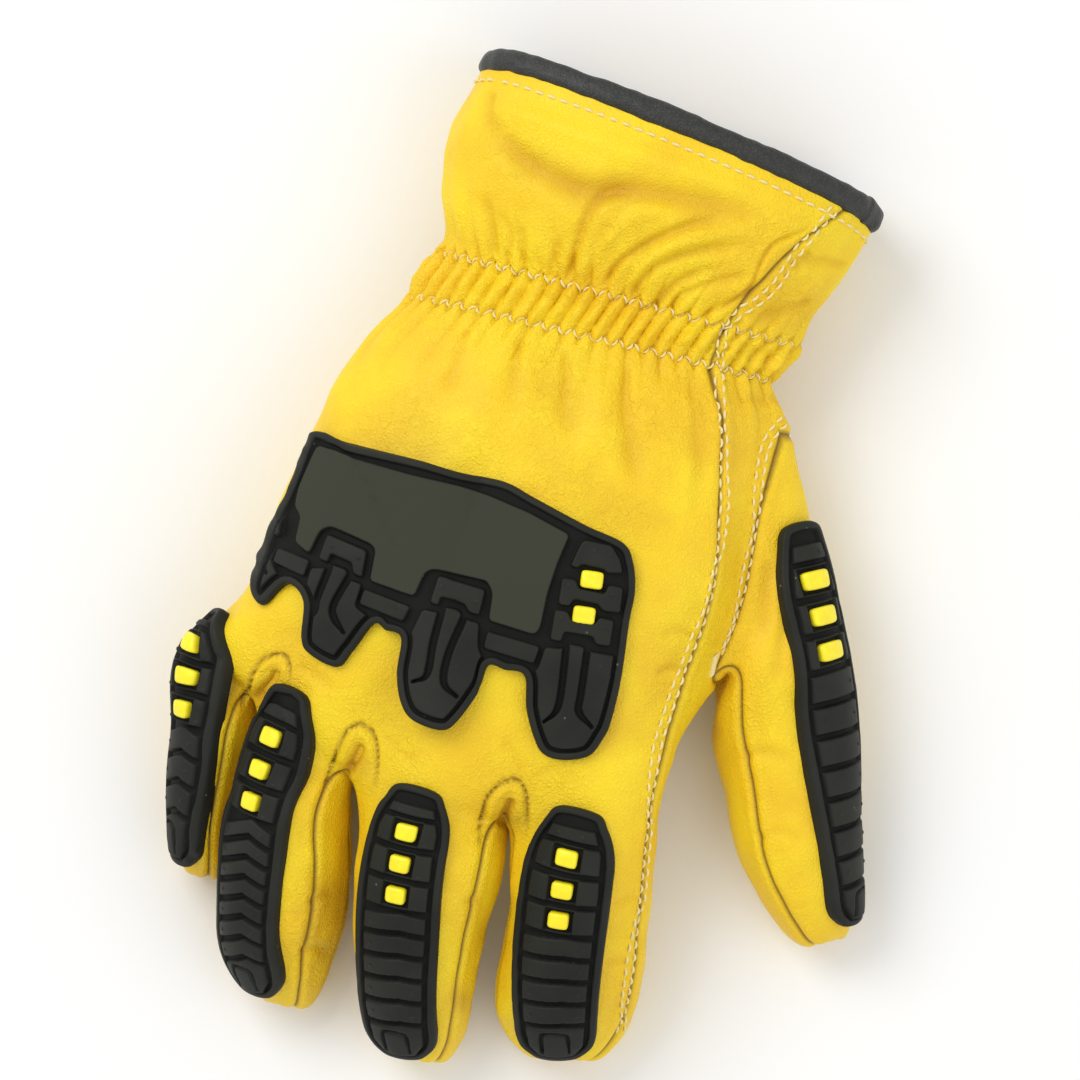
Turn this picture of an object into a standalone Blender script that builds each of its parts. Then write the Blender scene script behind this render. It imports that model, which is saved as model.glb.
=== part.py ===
"""Impact work glove, right hand, lying palm down.

X runs across the hand towards the thumb, Y from the fingertips to the cuff,
Z up from the surface that the palm rests on. All sizes are in metres.

The leather is one smooth skin, drawn through rings of points round the hand,
the four fingers and the thumb. It is cut along the seams into panels, and each
panel is a wall with an inner face. The rubber guards are laid on that skin.
"""
import math

import bmesh
import bpy
import numpy as np
from mathutils import Vector
from mathutils.bvhtree import BVHTree

# Driving dimensions of the hand
GLOVE_LENGTH = 0.260
GLOVE_BREADTH = 0.180
CUFF_WIDTH = 0.107
WRIST_WIDTH = 0.096
HAND_WIDTH = 0.120
HAND_HEIGHT = 0.054

# Length and width of each finger and of the thumb
LITTLE_LENGTH, LITTLE_WIDTH = 0.078, 0.024
RING_LENGTH, RING_WIDTH = 0.104, 0.033
MIDDLE_LENGTH, MIDDLE_WIDTH = 0.111, 0.036
INDEX_LENGTH, INDEX_WIDTH = 0.103, 0.037
THUMB_LENGTH, THUMB_WIDTH = 0.110, 0.036

# Walls, gaps and gathers
LEATHER = 0.0014
SEAM_GAP = 0.0003
GUARD_LIFT = 0.0008
INSERT_GAP = 0.0006
PUFF_HEIGHT = 0.0011
FLOOR_SOFTNESS = 0.0022

# Binding of the cuff's edge
BINDING_WIDTH = 0.0058
BINDING_DEPTH = 0.0042

# Rubber guards
GUARD_BASE = 0.0013
RIM_HEIGHT = 0.0024
RIM_WIDTH = 0.0019
GROOVE = 0.0012
TREAD_HEIGHT = 0.0032
PLATE_HEIGHT = 0.0027
HEADER_START = 0.0045
SLOT = 0.0013
END_BLOCK = 0.0085
POCKET = 0.0008
INSERT_ROWS = 3
INSERT_PITCH = 0.0085
INSERT_LENGTH = 0.0043
INSERT_HEIGHT = 0.0035
KNUCKLE_GUARD_WIDTH = 0.0986
KNUCKLE_GUARD_AT = 0.405
KNUCKLE_GUARD_BACK = 0.0074
KNUCKLE_INSERT_WIDTH = 0.0055
KNUCKLE_INSERT_TURN = 0.14

# How a guard lies on the leather: the height that rays towards it start from,
# how deep it may dip, and the least radius that it bends to
RAY_START = 0.06
GUARD_DIP = 0.0004
PAD_LEAST_RADIUS = 0.0110
KNUCKLE_LEAST_RADIUS = 0.020
# Length of the strips that a guard is cut into, to bend between them
PAD_STRIP = 0.006
KNUCKLE_STRIP = 0.012
# Share of the seam's gap that each cut edge is drawn back by. It is over a
# half because an edge slants where its panel curves.
SEAM_SHARE = 0.75
# Sides of the binding's roll
BINDING_SIDES = 6

# The unseen inner faces of the leather are merged where they turn by less
# than this angle, in radians
INNER_EASE = 0.13

# Rings round the hand, from the cuff's edge to the knuckles. The middle's
# place is a share of the glove's breadth and length, the width a share of the
# named width, the heights shares of the hand's height, the turn in degrees.
# bow is how far the middle of a ring lies nearer the cuff than its ends do,
# low, middle and crown the heights of its underside, its edges and its top.
# seam and thumb say how far across the two long seams lie.
HAND_RINGS = (
    # name, width of, aside, along, turn, width, bow, low, middle, crown, top at, seam, thumb
    ("cuff_edge", "cuff", 0.190, 0.381, -22.4, 0.99, 0.035, 0.03, 0.46, 0.90, 0.50, 0.930, 0.985),
    ("cuff_full", "cuff", 0.148, 0.322, -16.8, 0.99, 0.02, 0.00, 0.47, 0.94, 0.50, 0.865, 0.970),
    ("cuff_neck", "cuff", 0.125, 0.264, -13.4, 0.89, 0.0, 0.06, 0.45, 0.85, 0.50, 0.820, 0.960),
    ("gather_top", "wrist", 0.108, 0.236, -14.8, 0.98, 0.0, 0.09, 0.43, 0.78, 0.50, 0.800, 0.955),
    ("gather_low", "wrist", 0.071, 0.198, -13.3, 0.975, 0.0, 0.08, 0.43, 0.78, 0.50, 0.830, 0.965),
    ("wrist", "wrist", 0.042, 0.144, -10.5, 1.16, 0.0, -0.03, 0.42, 0.87, 0.52, 0.850, 0.985),
    ("heel", "hand", 0.001, 0.068, -8.7, 0.98, 0.0, -0.07, 0.41, 0.95, 0.55, 0.885, 0.975),
    ("back", "hand", -0.035, -0.012, -10.1, 1.02, 0.0, -0.06, 0.40, 1.00, 0.57, 0.915, 0.980),
    ("knuckle", "hand", -0.078, -0.086, -11.6, 1.00, 0.0, 0.08, 0.42, 0.98, 0.60, 0.935, 0.990),
)
WIDTHS = {"cuff": CUFF_WIDTH, "wrist": WRIST_WIDTH, "hand": HAND_WIDTH}

# Where the columns of the back lie between the left edge and the long seam,
# and those of the palm between the two edges, at the cuff and at the knuckles
BACK_COLUMNS_CUFF = (0.045, 0.15, 0.27, 0.39, 0.51, 0.63, 0.75, 0.875)
BACK_COLUMNS_KNUCKLE = (0.037, 0.13, 0.215, 0.335, 0.42, 0.58, 0.69, 0.86)
PALM_COLUMNS_CUFF = (0.06, 0.17, 0.29, 0.41, 0.53, 0.65, 0.77, 0.90)
PALM_COLUMNS_KNUCKLE = (0.07, 0.17, 0.26, 0.37, 0.45, 0.60, 0.70, 0.88)

# Fingers. start is the share of the knuckle row that the axis starts at,
# heading the degrees from straight ahead, and the angles are those of the
# columns round a section, from the thumb's side up over the back.
FINGERS = {
    "little": dict(length=LITTLE_LENGTH, width=LITTLE_WIDTH, start=-0.03, heading=-6,
                   back=(165, 120), right=(72, 5), palm=(-40, -85), left=(-140,),
                   first_palm=(-60, -92)),
    "ring": dict(length=RING_LENGTH, width=RING_WIDTH, start=0.165, heading=-8,
                 back=(160, 112), right=(64, 0), palm=(-42, -82), left=(-110, -160),
                 first_palm=(-55, -95), first_back=(142, 108)),
    "middle": dict(length=MIDDLE_LENGTH, width=MIDDLE_WIDTH, start=0.43, heading=-6,
                   back=(138, 90), right=(46, -2), palm=(-45, -92), left=(-134, 180)),
    "index": dict(length=INDEX_LENGTH, width=INDEX_WIDTH, start=0.77, heading=-7,
                  back=(134, 84, 30), right=(-8, -45), palm=(-82, -125), left=(-157, 172)),
}
# Sections of each finger: lengths are shares of its length, widths of its
# width, heights of the hand's height, the turn in degrees
SECTIONS = {
    # along, aside, width, turn, low, top
    "little": ((0.264, -0.07, 0.75, -21, 0.08, 0.56), (0.460, -0.06, 0.80, -4, 0.06, 0.53),
               (0.590, -0.08, 0.73, -1, 0.02, 0.49), (0.761, -0.10, 0.60, 2, -0.02, 0.43),
               (0.880, -0.09, 0.50, 2, -0.02, 0.36), (0.970, -0.06, 0.40, -3, 0.04, 0.24)),
    "ring": ((0.326, 0.02, 0.64, -20, 0.22, 0.76), (0.495, -0.03, 0.83, -4, 0.18, 0.73),
             (0.615, -0.03, 0.92, 1, 0.13, 0.68), (0.758, 0.01, 0.90, 5, 0.05, 0.59),
             (0.881, 0.02, 0.76, 4, -0.02, 0.47), (0.988, 0.10, 0.38, 0, 0.02, 0.27)),
    "middle": ((0.379, -0.004, 0.95, -8, 0.28, 0.87), (0.545, 0.018, 1.02, -1, 0.24, 0.84),
               (0.681, 0.00, 0.95, 1, 0.15, 0.75), (0.800, 0.01, 0.83, 1, 0.06, 0.64),
               (0.914, 0.04, 0.70, 0, -0.02, 0.49), (0.994, 0.08, 0.41, -1, 0.02, 0.28)),
    "index": ((0.338, -0.005, 1.02, 18, 0.28, 0.88), (0.506, -0.015, 0.97, 12, 0.24, 0.84),
              (0.638, 0.00, 0.97, 10, 0.15, 0.75), (0.769, 0.00, 0.99, 8, 0.06, 0.64),
              (0.898, 0.01, 0.92, 8, -0.02, 0.48), (0.993, 0.03, 0.52, 7, 0.02, 0.27)),
}
# The leather between two fingers: where its two points lie between the
# neighbouring first sections, ahead of them, and their heights
WEBS = (
    # ahead as a share of the ring finger's width, heights of the hand's height
    dict(ahead=-0.12, upper=0.50, lower=0.22),
    dict(ahead=-0.08, upper=0.64, lower=0.32),
    dict(ahead=-0.04, upper=0.66, lower=0.36),
)
# The thumb grows out of the hole between two hand rings
THUMB_FIRST_RING = "wrist"
THUMB_HEADING = 11
THUMB_ANGLES = (0, 320, 283, 245, 205, 165, 125, 92, 62, 33)
THUMB_SECTIONS = (
    # along, aside, width, turn, low, top
    (0.330, -0.18, 1.04, 28, 0.00, 0.66), (0.467, -0.215, 1.02, 12, -0.01, 0.61),
    (0.617, -0.24, 0.91, 3, -0.02, 0.57), (0.773, -0.29, 0.80, -2, -0.02, 0.53),
    (0.904, -0.265, 0.63, -4, 0.00, 0.45), (1.000, -0.21, 0.36, -1, 0.06, 0.31),
)

THUMB = dict(length=THUMB_LENGTH, width=THUMB_WIDTH, heading=THUMB_HEADING)

# Guards of the fingers and thumb: the start, middle and end of the centre
# line, each as a share of the finger's length and an angle on its section
GUARDS = {
    "little": dict(spots=((0.12, 99), (0.50, 128), (0.93, 136)), width=0.0172,
                   first_insert=0.0110, insert_width=0.0044, bar_pitch=0.0070),
    "ring": dict(spots=((0.25, 116), (0.62, 134), (0.97, 138)), width=0.0205,
                 first_insert=0.0125, insert_width=0.0049, bar_pitch=0.0058),
    "middle": dict(spots=((0.38, 103), (0.69, 112), (0.985, 112)), width=0.0212,
                   first_insert=0.0120, insert_width=0.0049, bar_pitch=0.0063),
    "index": dict(spots=((0.37, 101), (0.69, 106), (0.985, 104)), width=0.0222,
                  first_insert=0.0128, insert_width=0.0049, bar_pitch=0.0063),
    "thumb": dict(spots=((0.11, 42), (0.56, 38), (0.97, 24)), width=0.0205,
                  first_insert=0.0130, insert_width=0.0080, bar_pitch=0.0087),
}
# Half width of a pad along its length, both as shares
PAD_PROFILE = ((0.0, 0.42), (0.05, 0.70), (0.15, 0.93), (0.30, 1.0), (0.55, 1.0),
               (0.80, 0.94), (0.93, 0.85), (0.985, 0.55), (1.0, 0.25))

# Drawing of the knuckle guard, in hundredths of its breadth: x towards the
# thumb, y towards the fingertips
KNUCKLE_OUTLINE = (
    (-33, -38.5), (-31.5, -40.5), (-29, -40.5), (-23, -38), (-5, -33.5), (5, -30.5),
    (16.5, -28), (24, -24), (37, -17), (46.5, -12.5), (49, -7.5), (49.5, -0.5), (48, 7.5),
    (46, 21.5), (43.5, 32.5), (41.5, 37), (38, 41.5), (31.5, 42.5), (26.5, 41), (24, 37),
    (22, 29.5), (21.5, 21), (16.5, 19.5), (12.5, 18.5), (10, 24.5), (4.5, 32.5), (0.5, 35),
    (-6.5, 32.5), (-9.5, 28), (-10.5, 20.5), (-9.5, 11.5), (-13.5, 9.5), (-16.5, 8),
    (-22, 15), (-26, 19), (-33, 15.5), (-35, 11.5), (-34.5, 2), (-38.5, -2), (-44, 3),
    (-46.5, 2.5), (-47.5, -1.5), (-44.5, -10.5), (-41.5, -18.5), (-37.5, -27),
)
KNUCKLE_PLATE = (
    (-30, -37), (-23.5, -35), (-7, -30), (5, -27), (12.5, -24.5), (23, -20), (33, -14.5),
    (30, -7.5), (27.5, 0), (25.5, 9), (24, 10.5), (12.5, 7), (13.5, 0), (12, -3), (-1.5, -6),
    (-3.5, -5), (-6, 1), (-17.5, -3), (-16, -10.5), (-17, -12), (-27, -16.5), (-29.5, -15.5),
    (-32.5, -9.5), (-36, -12.5), (-34.5, -19), (-36, -21.5), (-35, -26), (-31.5, -34),
)
KNUCKLE_BLOCKS = (
    ((-27.5, -14.5), (-18, -11), (-21, -5), (-30, -8.5)),
    ((-1, -4), (11, -0.5), (9.5, 5.5), (-2.5, 2)),
    ((-38.5, -20), (-36, -18.5), (-37, -15), (-39.5, -16)),
    ((36.5, -12), (44, -9.5), (46, -7), (34.5, -8)),
    ((32.5, -6.5), (34.8, -6.2), (34.2, -0.4), (31, -0.8)),
    ((42.4, -5.5), (46.5, -5), (46.3, 0.6), (41.8, 0.2)),
    ((30.3, 1.8), (32.8, 2.2), (32.2, 8.2), (29.3, 7.8)),
    ((40.5, 3.2), (45.5, 3.6), (44.5, 9.6), (39.8, 9)),
    ((29.5, 9.6), (43.5, 11.2), (42.5, 14), (28.5, 12.2)),
    ((33, 14.2), (36.5, 14.7), (34, 31), (30.5, 30.5)),
    ((-26.5, -4), (-23, -3), (-27, 9), (-31, 6.5)),
    ((1.5, 6), (4.5, 6.8), (0, 25.5), (-4, 24)),
    ((-41, -13.5), (-38.5, -12.5), (-41.5, -4), (-43.5, -6)),
    ((-37, -9), (-32.5, -7), (-34, -4), (-38, -5.5)),
    ((-17.5, 0), (-7.5, 3.5), (-9, 6.5), (-18.5, 3)),
    ((13, 10.5), (24.5, 14), (23, 16.5), (12, 13.5)),
)
KNUCKLE_INSERTS = ((38.5, -3.2), (36.5, 5.6))

FINGER_NAMES = tuple(FINGERS)
PANELS = ("back_panel", "palm_panel", "fourchette_ring_little", "fourchette_middle_ring",
          "fourchette_index_middle", "thumb_back", "thumb_palm")
BACK, PALM, FOURCHETTES, THUMB_BACK, THUMB_PALM = 0, 1, (2, 3, 4), 5, 6

LEATHER_COLOUR = (0.86, 0.56, 0.03)
RUBBER_COLOUR = (0.035, 0.037, 0.028)
INSERT_COLOUR = (0.95, 0.86, 0.02)
BINDING_COLOUR = (0.022, 0.023, 0.020)


def clear_scene():
    """Take every object out of the scene."""
    for obj in list(bpy.data.objects):
        bpy.data.objects.remove(obj, do_unlink=True)


def make_material(name, colour, roughness, metallic=0.0):
    """A Principled material of one colour."""
    material = bpy.data.materials.new(name)
    material.use_nodes = True
    shader = material.node_tree.nodes["Principled BSDF"]
    shader.inputs["Base Color"].default_value = (*colour, 1.0)
    shader.inputs["Roughness"].default_value = roughness
    shader.inputs["Metallic"].default_value = metallic
    return material


def dome(share, top_at):
    """Height of a rounded section across it: 0 at both edges, 1 at top_at."""
    side = np.where(share < top_at, top_at, 1 - top_at)
    reach = np.clip(abs(share - top_at) / side, 0, 1)
    return (1 - reach ** 2.3) ** (1 / 2.3)


def turned(degrees):
    """Unit vectors ahead and to the right, for a heading from straight ahead."""
    angle = math.radians(degrees)
    ahead = np.array([math.sin(angle), -math.cos(angle)])
    right = np.array([math.cos(angle), math.sin(angle)])
    return ahead, right


def hand_rings():
    """Points of the rings round the hand: 10 over the back, 1 at the thumb's
    side, 8 under the palm and 1 at the little finger's side."""
    rings = []
    last = len(HAND_RINGS) - 1
    for number, row in enumerate(HAND_RINGS):
        _, which, aside, along, turn, width, bow, low, middle, crown, top_at, seam, thumb = row
        blend = np.clip((number - 2) / (last - 2), 0, 1)
        mix = lambda a, b: (1 - blend) * np.array(a) + blend * np.array(b)
        over = np.r_[mix(BACK_COLUMNS_CUFF, BACK_COLUMNS_KNUCKLE) * seam, seam, thumb]
        under = mix(PALM_COLUMNS_CUFF, PALM_COLUMNS_KNUCKLE)[::-1]
        across = np.r_[over, 1.0, under, 0.0]
        height = np.full(len(across), middle)
        height[:10] += (crown - middle) * dome(over, top_at)
        height[11:19] -= (middle - low) * dome(under, 0.5) ** 0.7
        ahead, right = turned(turn)
        centre = np.array([aside * GLOVE_BREADTH, along * GLOVE_LENGTH])
        plan = centre + np.outer(across - 0.5, right) * width * WIDTHS[which]
        plan -= np.outer(dome(across, 0.5), ahead) * bow * WIDTHS[which]
        rings.append(np.column_stack([plan, height * HAND_HEIGHT]))
    return np.array(rings)


def section(base, heading, length, width, row, angles):
    """Points of one upright section of a finger at the given angles."""
    along, aside, breadth, turn, low, top = row
    ahead, right = turned(heading)
    centre = base + ahead * along * length + right * aside * width
    across = turned(heading + turn)[1]
    angles = np.radians(angles)
    plan = centre + np.outer(np.cos(angles), across) * breadth * width / 2
    height = (top + low) / 2 + (top - low) / 2 * np.sin(angles)
    return np.column_stack([plan, height * HAND_HEIGHT])


class Skin:
    """Points and faces of the leather's control mesh."""

    def __init__(self):
        self.points = []
        self.faces = []
        self.panels = []
        self.bands = []
        self.loose = []

    def add(self, points):
        """Keep points, and give their numbers."""
        first = len(self.points)
        self.points.extend(np.atleast_2d(points))
        return list(range(first, len(self.points)))

    def face(self, corners, panel, band=0):
        """Keep a face, of a panel, in a band round the hand."""
        self.faces.append(tuple(corners))
        self.panels.append(panel)
        self.bands.append(band)

    def band(self, ring, following, panels, band=0):
        """Join two rings of equal length, leaving out panels named None."""
        for k, panel in enumerate(panels):
            n = (k + 1) % len(ring)
            if panel is not None:
                self.face((ring[k], following[k], following[n], ring[n]), panel, band)


def add_hand(skin):
    """The tube of the hand, with the thumb's hole left out of it."""
    rings = [skin.add(ring) for ring in hand_rings()]
    names = [row[0] for row in HAND_RINGS]
    hole = names.index(THUMB_FIRST_RING)
    for number in range(len(rings) - 1):
        panels = [BACK] * 8 + [PALM] * 10 + [BACK] * 2
        if number >= hole:
            panels[9] = panels[10] = None
        skin.band(rings[number], rings[number + 1], panels, number)
    return rings, hole


def finger_ring(skin, name, base, row, shared):
    """One section of a finger. shared holds the web points that its first
    section takes from its neighbours: the pair on its left and its right."""
    finger = FINGERS[name]
    sides = []
    for key in ("back", "right", "palm", "left"):
        angles = finger[key]
        if shared:
            angles = finger.get("first_" + key, angles)
        points = section(base, finger["heading"], finger["length"], finger["width"], row, angles)
        taken = shared.get(key)
        sides.extend(taken if taken else skin.add(points))
    return sides


def add_fingers(skin, knuckles):
    """Four fingers, joined to the last hand ring through the webs."""
    points = np.array(skin.points)
    left_edge, right_edge = points[knuckles[19]][:2], points[knuckles[10]][:2]
    bases = {n: left_edge + FINGERS[n]["start"] * (right_edge - left_edge) for n in FINGER_NAMES}
    webs = []
    for k, web in enumerate(WEBS):
        near, far = FINGER_NAMES[k], FINGER_NAMES[k + 1]
        ends = []
        for name, angle in ((near, 0), (far, 180)):
            finger = FINGERS[name]
            ends.append(section(bases[name], finger["heading"], finger["length"], finger["width"],
                                SECTIONS[name][0], (angle,))[0][:2])
        plan = (ends[0] + ends[1]) / 2 + turned(-7)[0] * web["ahead"] * RING_WIDTH
        webs.append(skin.add([(*plan, web["upper"] * HAND_HEIGHT), (*plan, web["lower"] * HAND_HEIGHT)]))

    skin.loose = [number for web in webs for number in web]
    first = {}
    for k, name in enumerate(FINGER_NAMES):
        shared = {}
        if k < 3:
            shared["right"] = webs[k]
        if k > 0:
            shared["left"] = webs[k - 1][::-1]
        first[name] = finger_ring(skin, name, bases[name], SECTIONS[name][0], shared)

    # The last band of the hand runs into the first sections of the fingers
    back_columns = {"little": (0, 1), "ring": (2, 3), "middle": (4, 5), "index": (6, 7, 8)}
    palm_columns = {"little": (17, 18), "ring": (15, 16), "middle": (13, 14), "index": (11, 12)}
    band = len(HAND_RINGS) - 1
    for k, name in enumerate(FINGER_NAMES):
        ring = first[name]
        finger = FINGERS[name]
        count = len(finger["back"])
        backs = [knuckles[c] for c in back_columns[name]]
        for n in range(count - 1):
            skin.face((backs[n], ring[n], ring[n + 1], backs[n + 1]), BACK, band)
        palms = [knuckles[c] for c in palm_columns[name]]
        start = count + len(finger["right"])
        skin.face((palms[0], ring[start], ring[start + 1], palms[1]), PALM, band)
        if k < 3:
            following = first[FINGER_NAMES[k + 1]]
            ahead = knuckles[back_columns[FINGER_NAMES[k + 1]][0]]
            skin.face((backs[-1], ring[count - 1], following[0], ahead), BACK, band)
            skin.face((ring[count - 1], webs[k][0], following[0]), BACK, band)
            next_start = len(FINGERS[FINGER_NAMES[k + 1]]["back"]) + 2
            behind = knuckles[palm_columns[FINGER_NAMES[k + 1]][1]]
            skin.face((behind, following[next_start + 1], ring[start], palms[0]), PALM, band)
            skin.face((following[next_start + 1], webs[k][1], ring[start]), PALM, band)
    index, little = first["index"], first["little"]
    skin.face((knuckles[8], index[2], index[3], knuckles[9]), PALM, band)
    skin.face((knuckles[9], index[3], index[4], knuckles[10]), PALM, band)
    skin.face((knuckles[10], index[4], index[5], knuckles[11]), PALM, band)
    skin.face((knuckles[18], little[5], little[6], knuckles[19]), BACK, band)
    skin.face((knuckles[19], little[6], little[0], knuckles[0]), BACK, band)

    panels = {
        "little": [BACK, BACK, FOURCHETTES[0], PALM, PALM, BACK, BACK],
        "ring": [BACK, BACK, FOURCHETTES[1], PALM, PALM, PALM, FOURCHETTES[0], BACK],
        "middle": [BACK, BACK, FOURCHETTES[2], PALM, PALM, PALM, FOURCHETTES[1], BACK],
        "index": [BACK, BACK, PALM, PALM, PALM, PALM, PALM, FOURCHETTES[2], BACK],
    }
    for name in FINGER_NAMES:
        ring = first[name]
        for row in SECTIONS[name][1:]:
            following = finger_ring(skin, name, bases[name], row, {})
            skin.band(ring, following, panels[name])
            ring = following
        close_tip(skin, ring, panels[name])
    return bases


def close_tip(skin, ring, panels):
    """Close the last ring of a finger with a fan of faces about its middle,
    each in the panel of its side."""
    count = len(ring)
    middle = skin.add(np.mean(np.array([skin.points[k] for k in ring]), axis=0))[0]
    for k in range(count):
        skin.face((middle, ring[(k + 1) % count], ring[k]), panels[k])


def add_thumb(skin, rings, hole):
    """The thumb, from the loop of points round its hole."""
    rows = rings[hole:]
    loop = [rows[0][10]] + [row[11] for row in rows] + [rows[-1][10]] + [row[9] for row in rows[::-1]]
    points = np.array(skin.points)
    base = points[rings[hole + 1][10]][:2]
    panels = [THUMB_BACK] + [THUMB_PALM] * 5 + [THUMB_BACK] * 4
    ring = loop
    for row in THUMB_SECTIONS:
        following = skin.add(section(base, THUMB_HEADING, THUMB_LENGTH, THUMB_WIDTH, row, THUMB_ANGLES))
        skin.band(ring, following, panels)
        ring = following
    close_tip(skin, ring, panels)
    return base


def mesh_object(name, points, faces):
    """A new object from points and faces."""
    mesh = bpy.data.meshes.new(name)
    mesh.from_pydata([tuple(p) for p in points], [], [tuple(f) for f in faces])
    obj = bpy.data.objects.new(name, mesh)
    bpy.context.scene.collection.objects.link(obj)
    return obj


def subdivided(obj, level):
    """The object's mesh on the smooth surface of its control mesh."""
    modifier = obj.modifiers.new("smooth", "SUBSURF")
    modifier.levels = modifier.render_levels = level
    modifier.use_limit_surface = True
    modifier.boundary_smooth = "ALL"
    bpy.context.view_layer.update()
    mesh = bpy.data.meshes.new_from_object(obj.evaluated_get(bpy.context.evaluated_depsgraph_get()))
    obj.modifiers.remove(modifier)
    points = np.empty(len(mesh.vertices) * 3)
    mesh.vertices.foreach_get("co", points)
    faces = [tuple(p.vertices) for p in mesh.polygons]
    kinds = np.empty(len(faces), dtype=np.int32)
    mesh.polygons.foreach_get("material_index", kinds)
    bpy.data.meshes.remove(mesh)
    return points.reshape(-1, 3), faces, kinds


def fitted_control(skin):
    """A control mesh whose smooth surface passes through the skin's points,
    except for the loose ones between the fingers, which it passes near."""
    target = np.array(skin.points)
    obj = mesh_object("skin_guide", target, skin.faces)
    kinds = np.array(skin.panels) + 16 * np.array(skin.bands)
    obj.data.polygons.foreach_set("material_index", kinds.astype(np.int32))
    control = target.copy()
    held = np.ones((len(target), 1))
    held[skin.loose] = 0
    for _ in range(5):
        surface = subdivided(obj, 1)[0][:len(target)]
        control += (target - surface) * held
        obj.data.vertices.foreach_set("co", control.ravel())
        obj.data.update()
    obj.hide_render = True
    obj.display_type = "WIRE"
    return obj


def settled(points):
    """The leather flattened where it rests: heights near and under the
    surface are eased onto it, the rest stay."""
    out = points.copy()
    height = points[:, 2]
    soft = FLOOR_SOFTNESS
    eased = (height + soft) ** 2 / (4 * soft)
    out[:, 2] = np.where(height > soft, height, np.where(height < -soft, 0.0, eased))
    return out


def point_normals(points, faces):
    """Area-weighted normals of the points."""
    normals = np.zeros_like(points)
    for face in faces:
        corners = points[list(face)]
        spin = np.zeros(3)
        for k in range(1, len(face) - 1):
            spin += np.cross(corners[k] - corners[0], corners[k + 1] - corners[0])
        normals[list(face)] += spin
    lengths = np.linalg.norm(normals, axis=1, keepdims=True)
    return normals / np.maximum(lengths, 1e-12)


def gathered(points, faces, kinds, normals):
    """Gathers of the wrist. Each face of the gathered band is cut in two
    across the hand: the new points rise into puffs, most half way between the
    two rows of stitches, and the old ones sink between them."""
    names = [row[0] for row in HAND_RINGS]
    band = names.index("gather_top")
    ahead = turned(HAND_RINGS[band][4])[0]
    chosen = [k for k, kind in enumerate(kinds) if kind // 16 == band]
    touched = {}
    for k in chosen:
        for corner in faces[k]:
            touched[corner] = touched.get(corner, 0) + 1
    cut = set()
    for k in chosen:
        face = faces[k]
        runs = []
        for n, a in enumerate(face):
            b = face[(n + 1) % len(face)]
            run = points[b] - points[a]
            runs.append((abs(run[:2] @ ahead) / np.linalg.norm(run), (min(a, b), max(a, b))))
        cut.update(edge for _, edge in sorted(runs)[:2])
    middles = {edge: len(points) + n for n, edge in enumerate(sorted(cut))}
    pairs = np.array(sorted(cut))
    points = np.vstack([points, points[pairs].mean(axis=1)])
    normals = np.vstack([normals, normals[pairs].mean(axis=1)])

    # A point with four faces of the band round it is half way between the rows
    lift = np.zeros(len(points))
    for corner, count in touched.items():
        lift[corner] = -PUFF_HEIGHT * (0.7 if count == 4 else 0.5)
    for (a, b), number in middles.items():
        between = touched.get(a) == 4 and touched.get(b) == 4
        lift[number] = PUFF_HEIGHT * (1.0 if between else 0.4)
    lift[points[:, 2] < FLOOR_SOFTNESS] = 0
    points = points + normals * lift[:, None]

    new_faces, new_kinds = [], []
    for face, kind in zip(faces, kinds):
        corners = []
        cuts = []
        for n, a in enumerate(face):
            b = face[(n + 1) % len(face)]
            corners.append(a)
            number = middles.get((min(a, b), max(a, b)))
            if number is not None:
                cuts.append(len(corners))
                corners.append(number)
        if kind // 16 == band and len(cuts) == 2:
            first, second = cuts
            new_faces.append(tuple(corners[first:second + 1]))
            new_faces.append(tuple(corners[second:] + corners[:first + 1]))
            new_kinds.extend([kind, kind])
        else:
            new_faces.append(tuple(corners))
            new_kinds.append(kind)
    return points, new_faces, np.array(new_kinds), normals


def border_edges(faces):
    """Edges that only one face uses, in the direction that it uses them."""
    edges = {(a, face[(k + 1) % len(face)]) for face in faces for k, a in enumerate(face)}
    return sorted((a, b) for a, b in edges if (b, a) not in edges)


def drawn_in(points, normals, border):
    """Directions along the surface from its border inwards."""
    inward = np.zeros_like(points)
    for a, b in border:
        run = points[b] - points[a]
        run = run / max(np.linalg.norm(run), 1e-9)
        for end in (a, b):
            inward[end] += np.cross(normals[end], run)
    lengths = np.linalg.norm(inward, axis=1, keepdims=True)
    return np.where(lengths > 1e-9, inward / np.maximum(lengths, 1e-9), 0)


def panel_wall(name, points, normals, faces, material):
    """A leather panel: its outer face, an inner face one thickness below it,
    and the cut edge, drawn back from the seam."""
    used = sorted({k for face in faces for k in face})
    number = {k: n for n, k in enumerate(used)}
    faces = [tuple(number[k] for k in face) for face in faces]
    upward = normals[used]
    border = border_edges(faces)
    outer = points[used] + drawn_in(points[used], upward, border) * SEAM_GAP * SEAM_SHARE
    inner = outer - upward * LEATHER
    count = len(outer)
    walls = list(faces)
    walls += [tuple(k + count for k in face[::-1]) for face in faces]
    walls += [(b, a, a + count, b + count) for a, b in border]
    obj = mesh_object(name, np.vstack([outer, inner]), walls)
    work = bmesh.new()
    work.from_mesh(obj.data)
    inside = [vertex for vertex in work.verts if vertex.index >= count]
    hidden = {face for vertex in inside for face in vertex.link_faces
              if min(corner.index for corner in face.verts) >= count}
    between = [edge for edge in work.edges if all(face in hidden for face in edge.link_faces)]
    bmesh.ops.dissolve_limit(work, angle_limit=INNER_EASE, edges=between,
                             verts=[v for v in inside if all(face in hidden for face in v.link_faces)])
    bmesh.ops.triangulate(work, faces=work.faces, quad_method="SHORT_EDGE")
    work.to_mesh(obj.data)
    work.free()
    obj.data.materials.append(material)
    return obj


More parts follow.
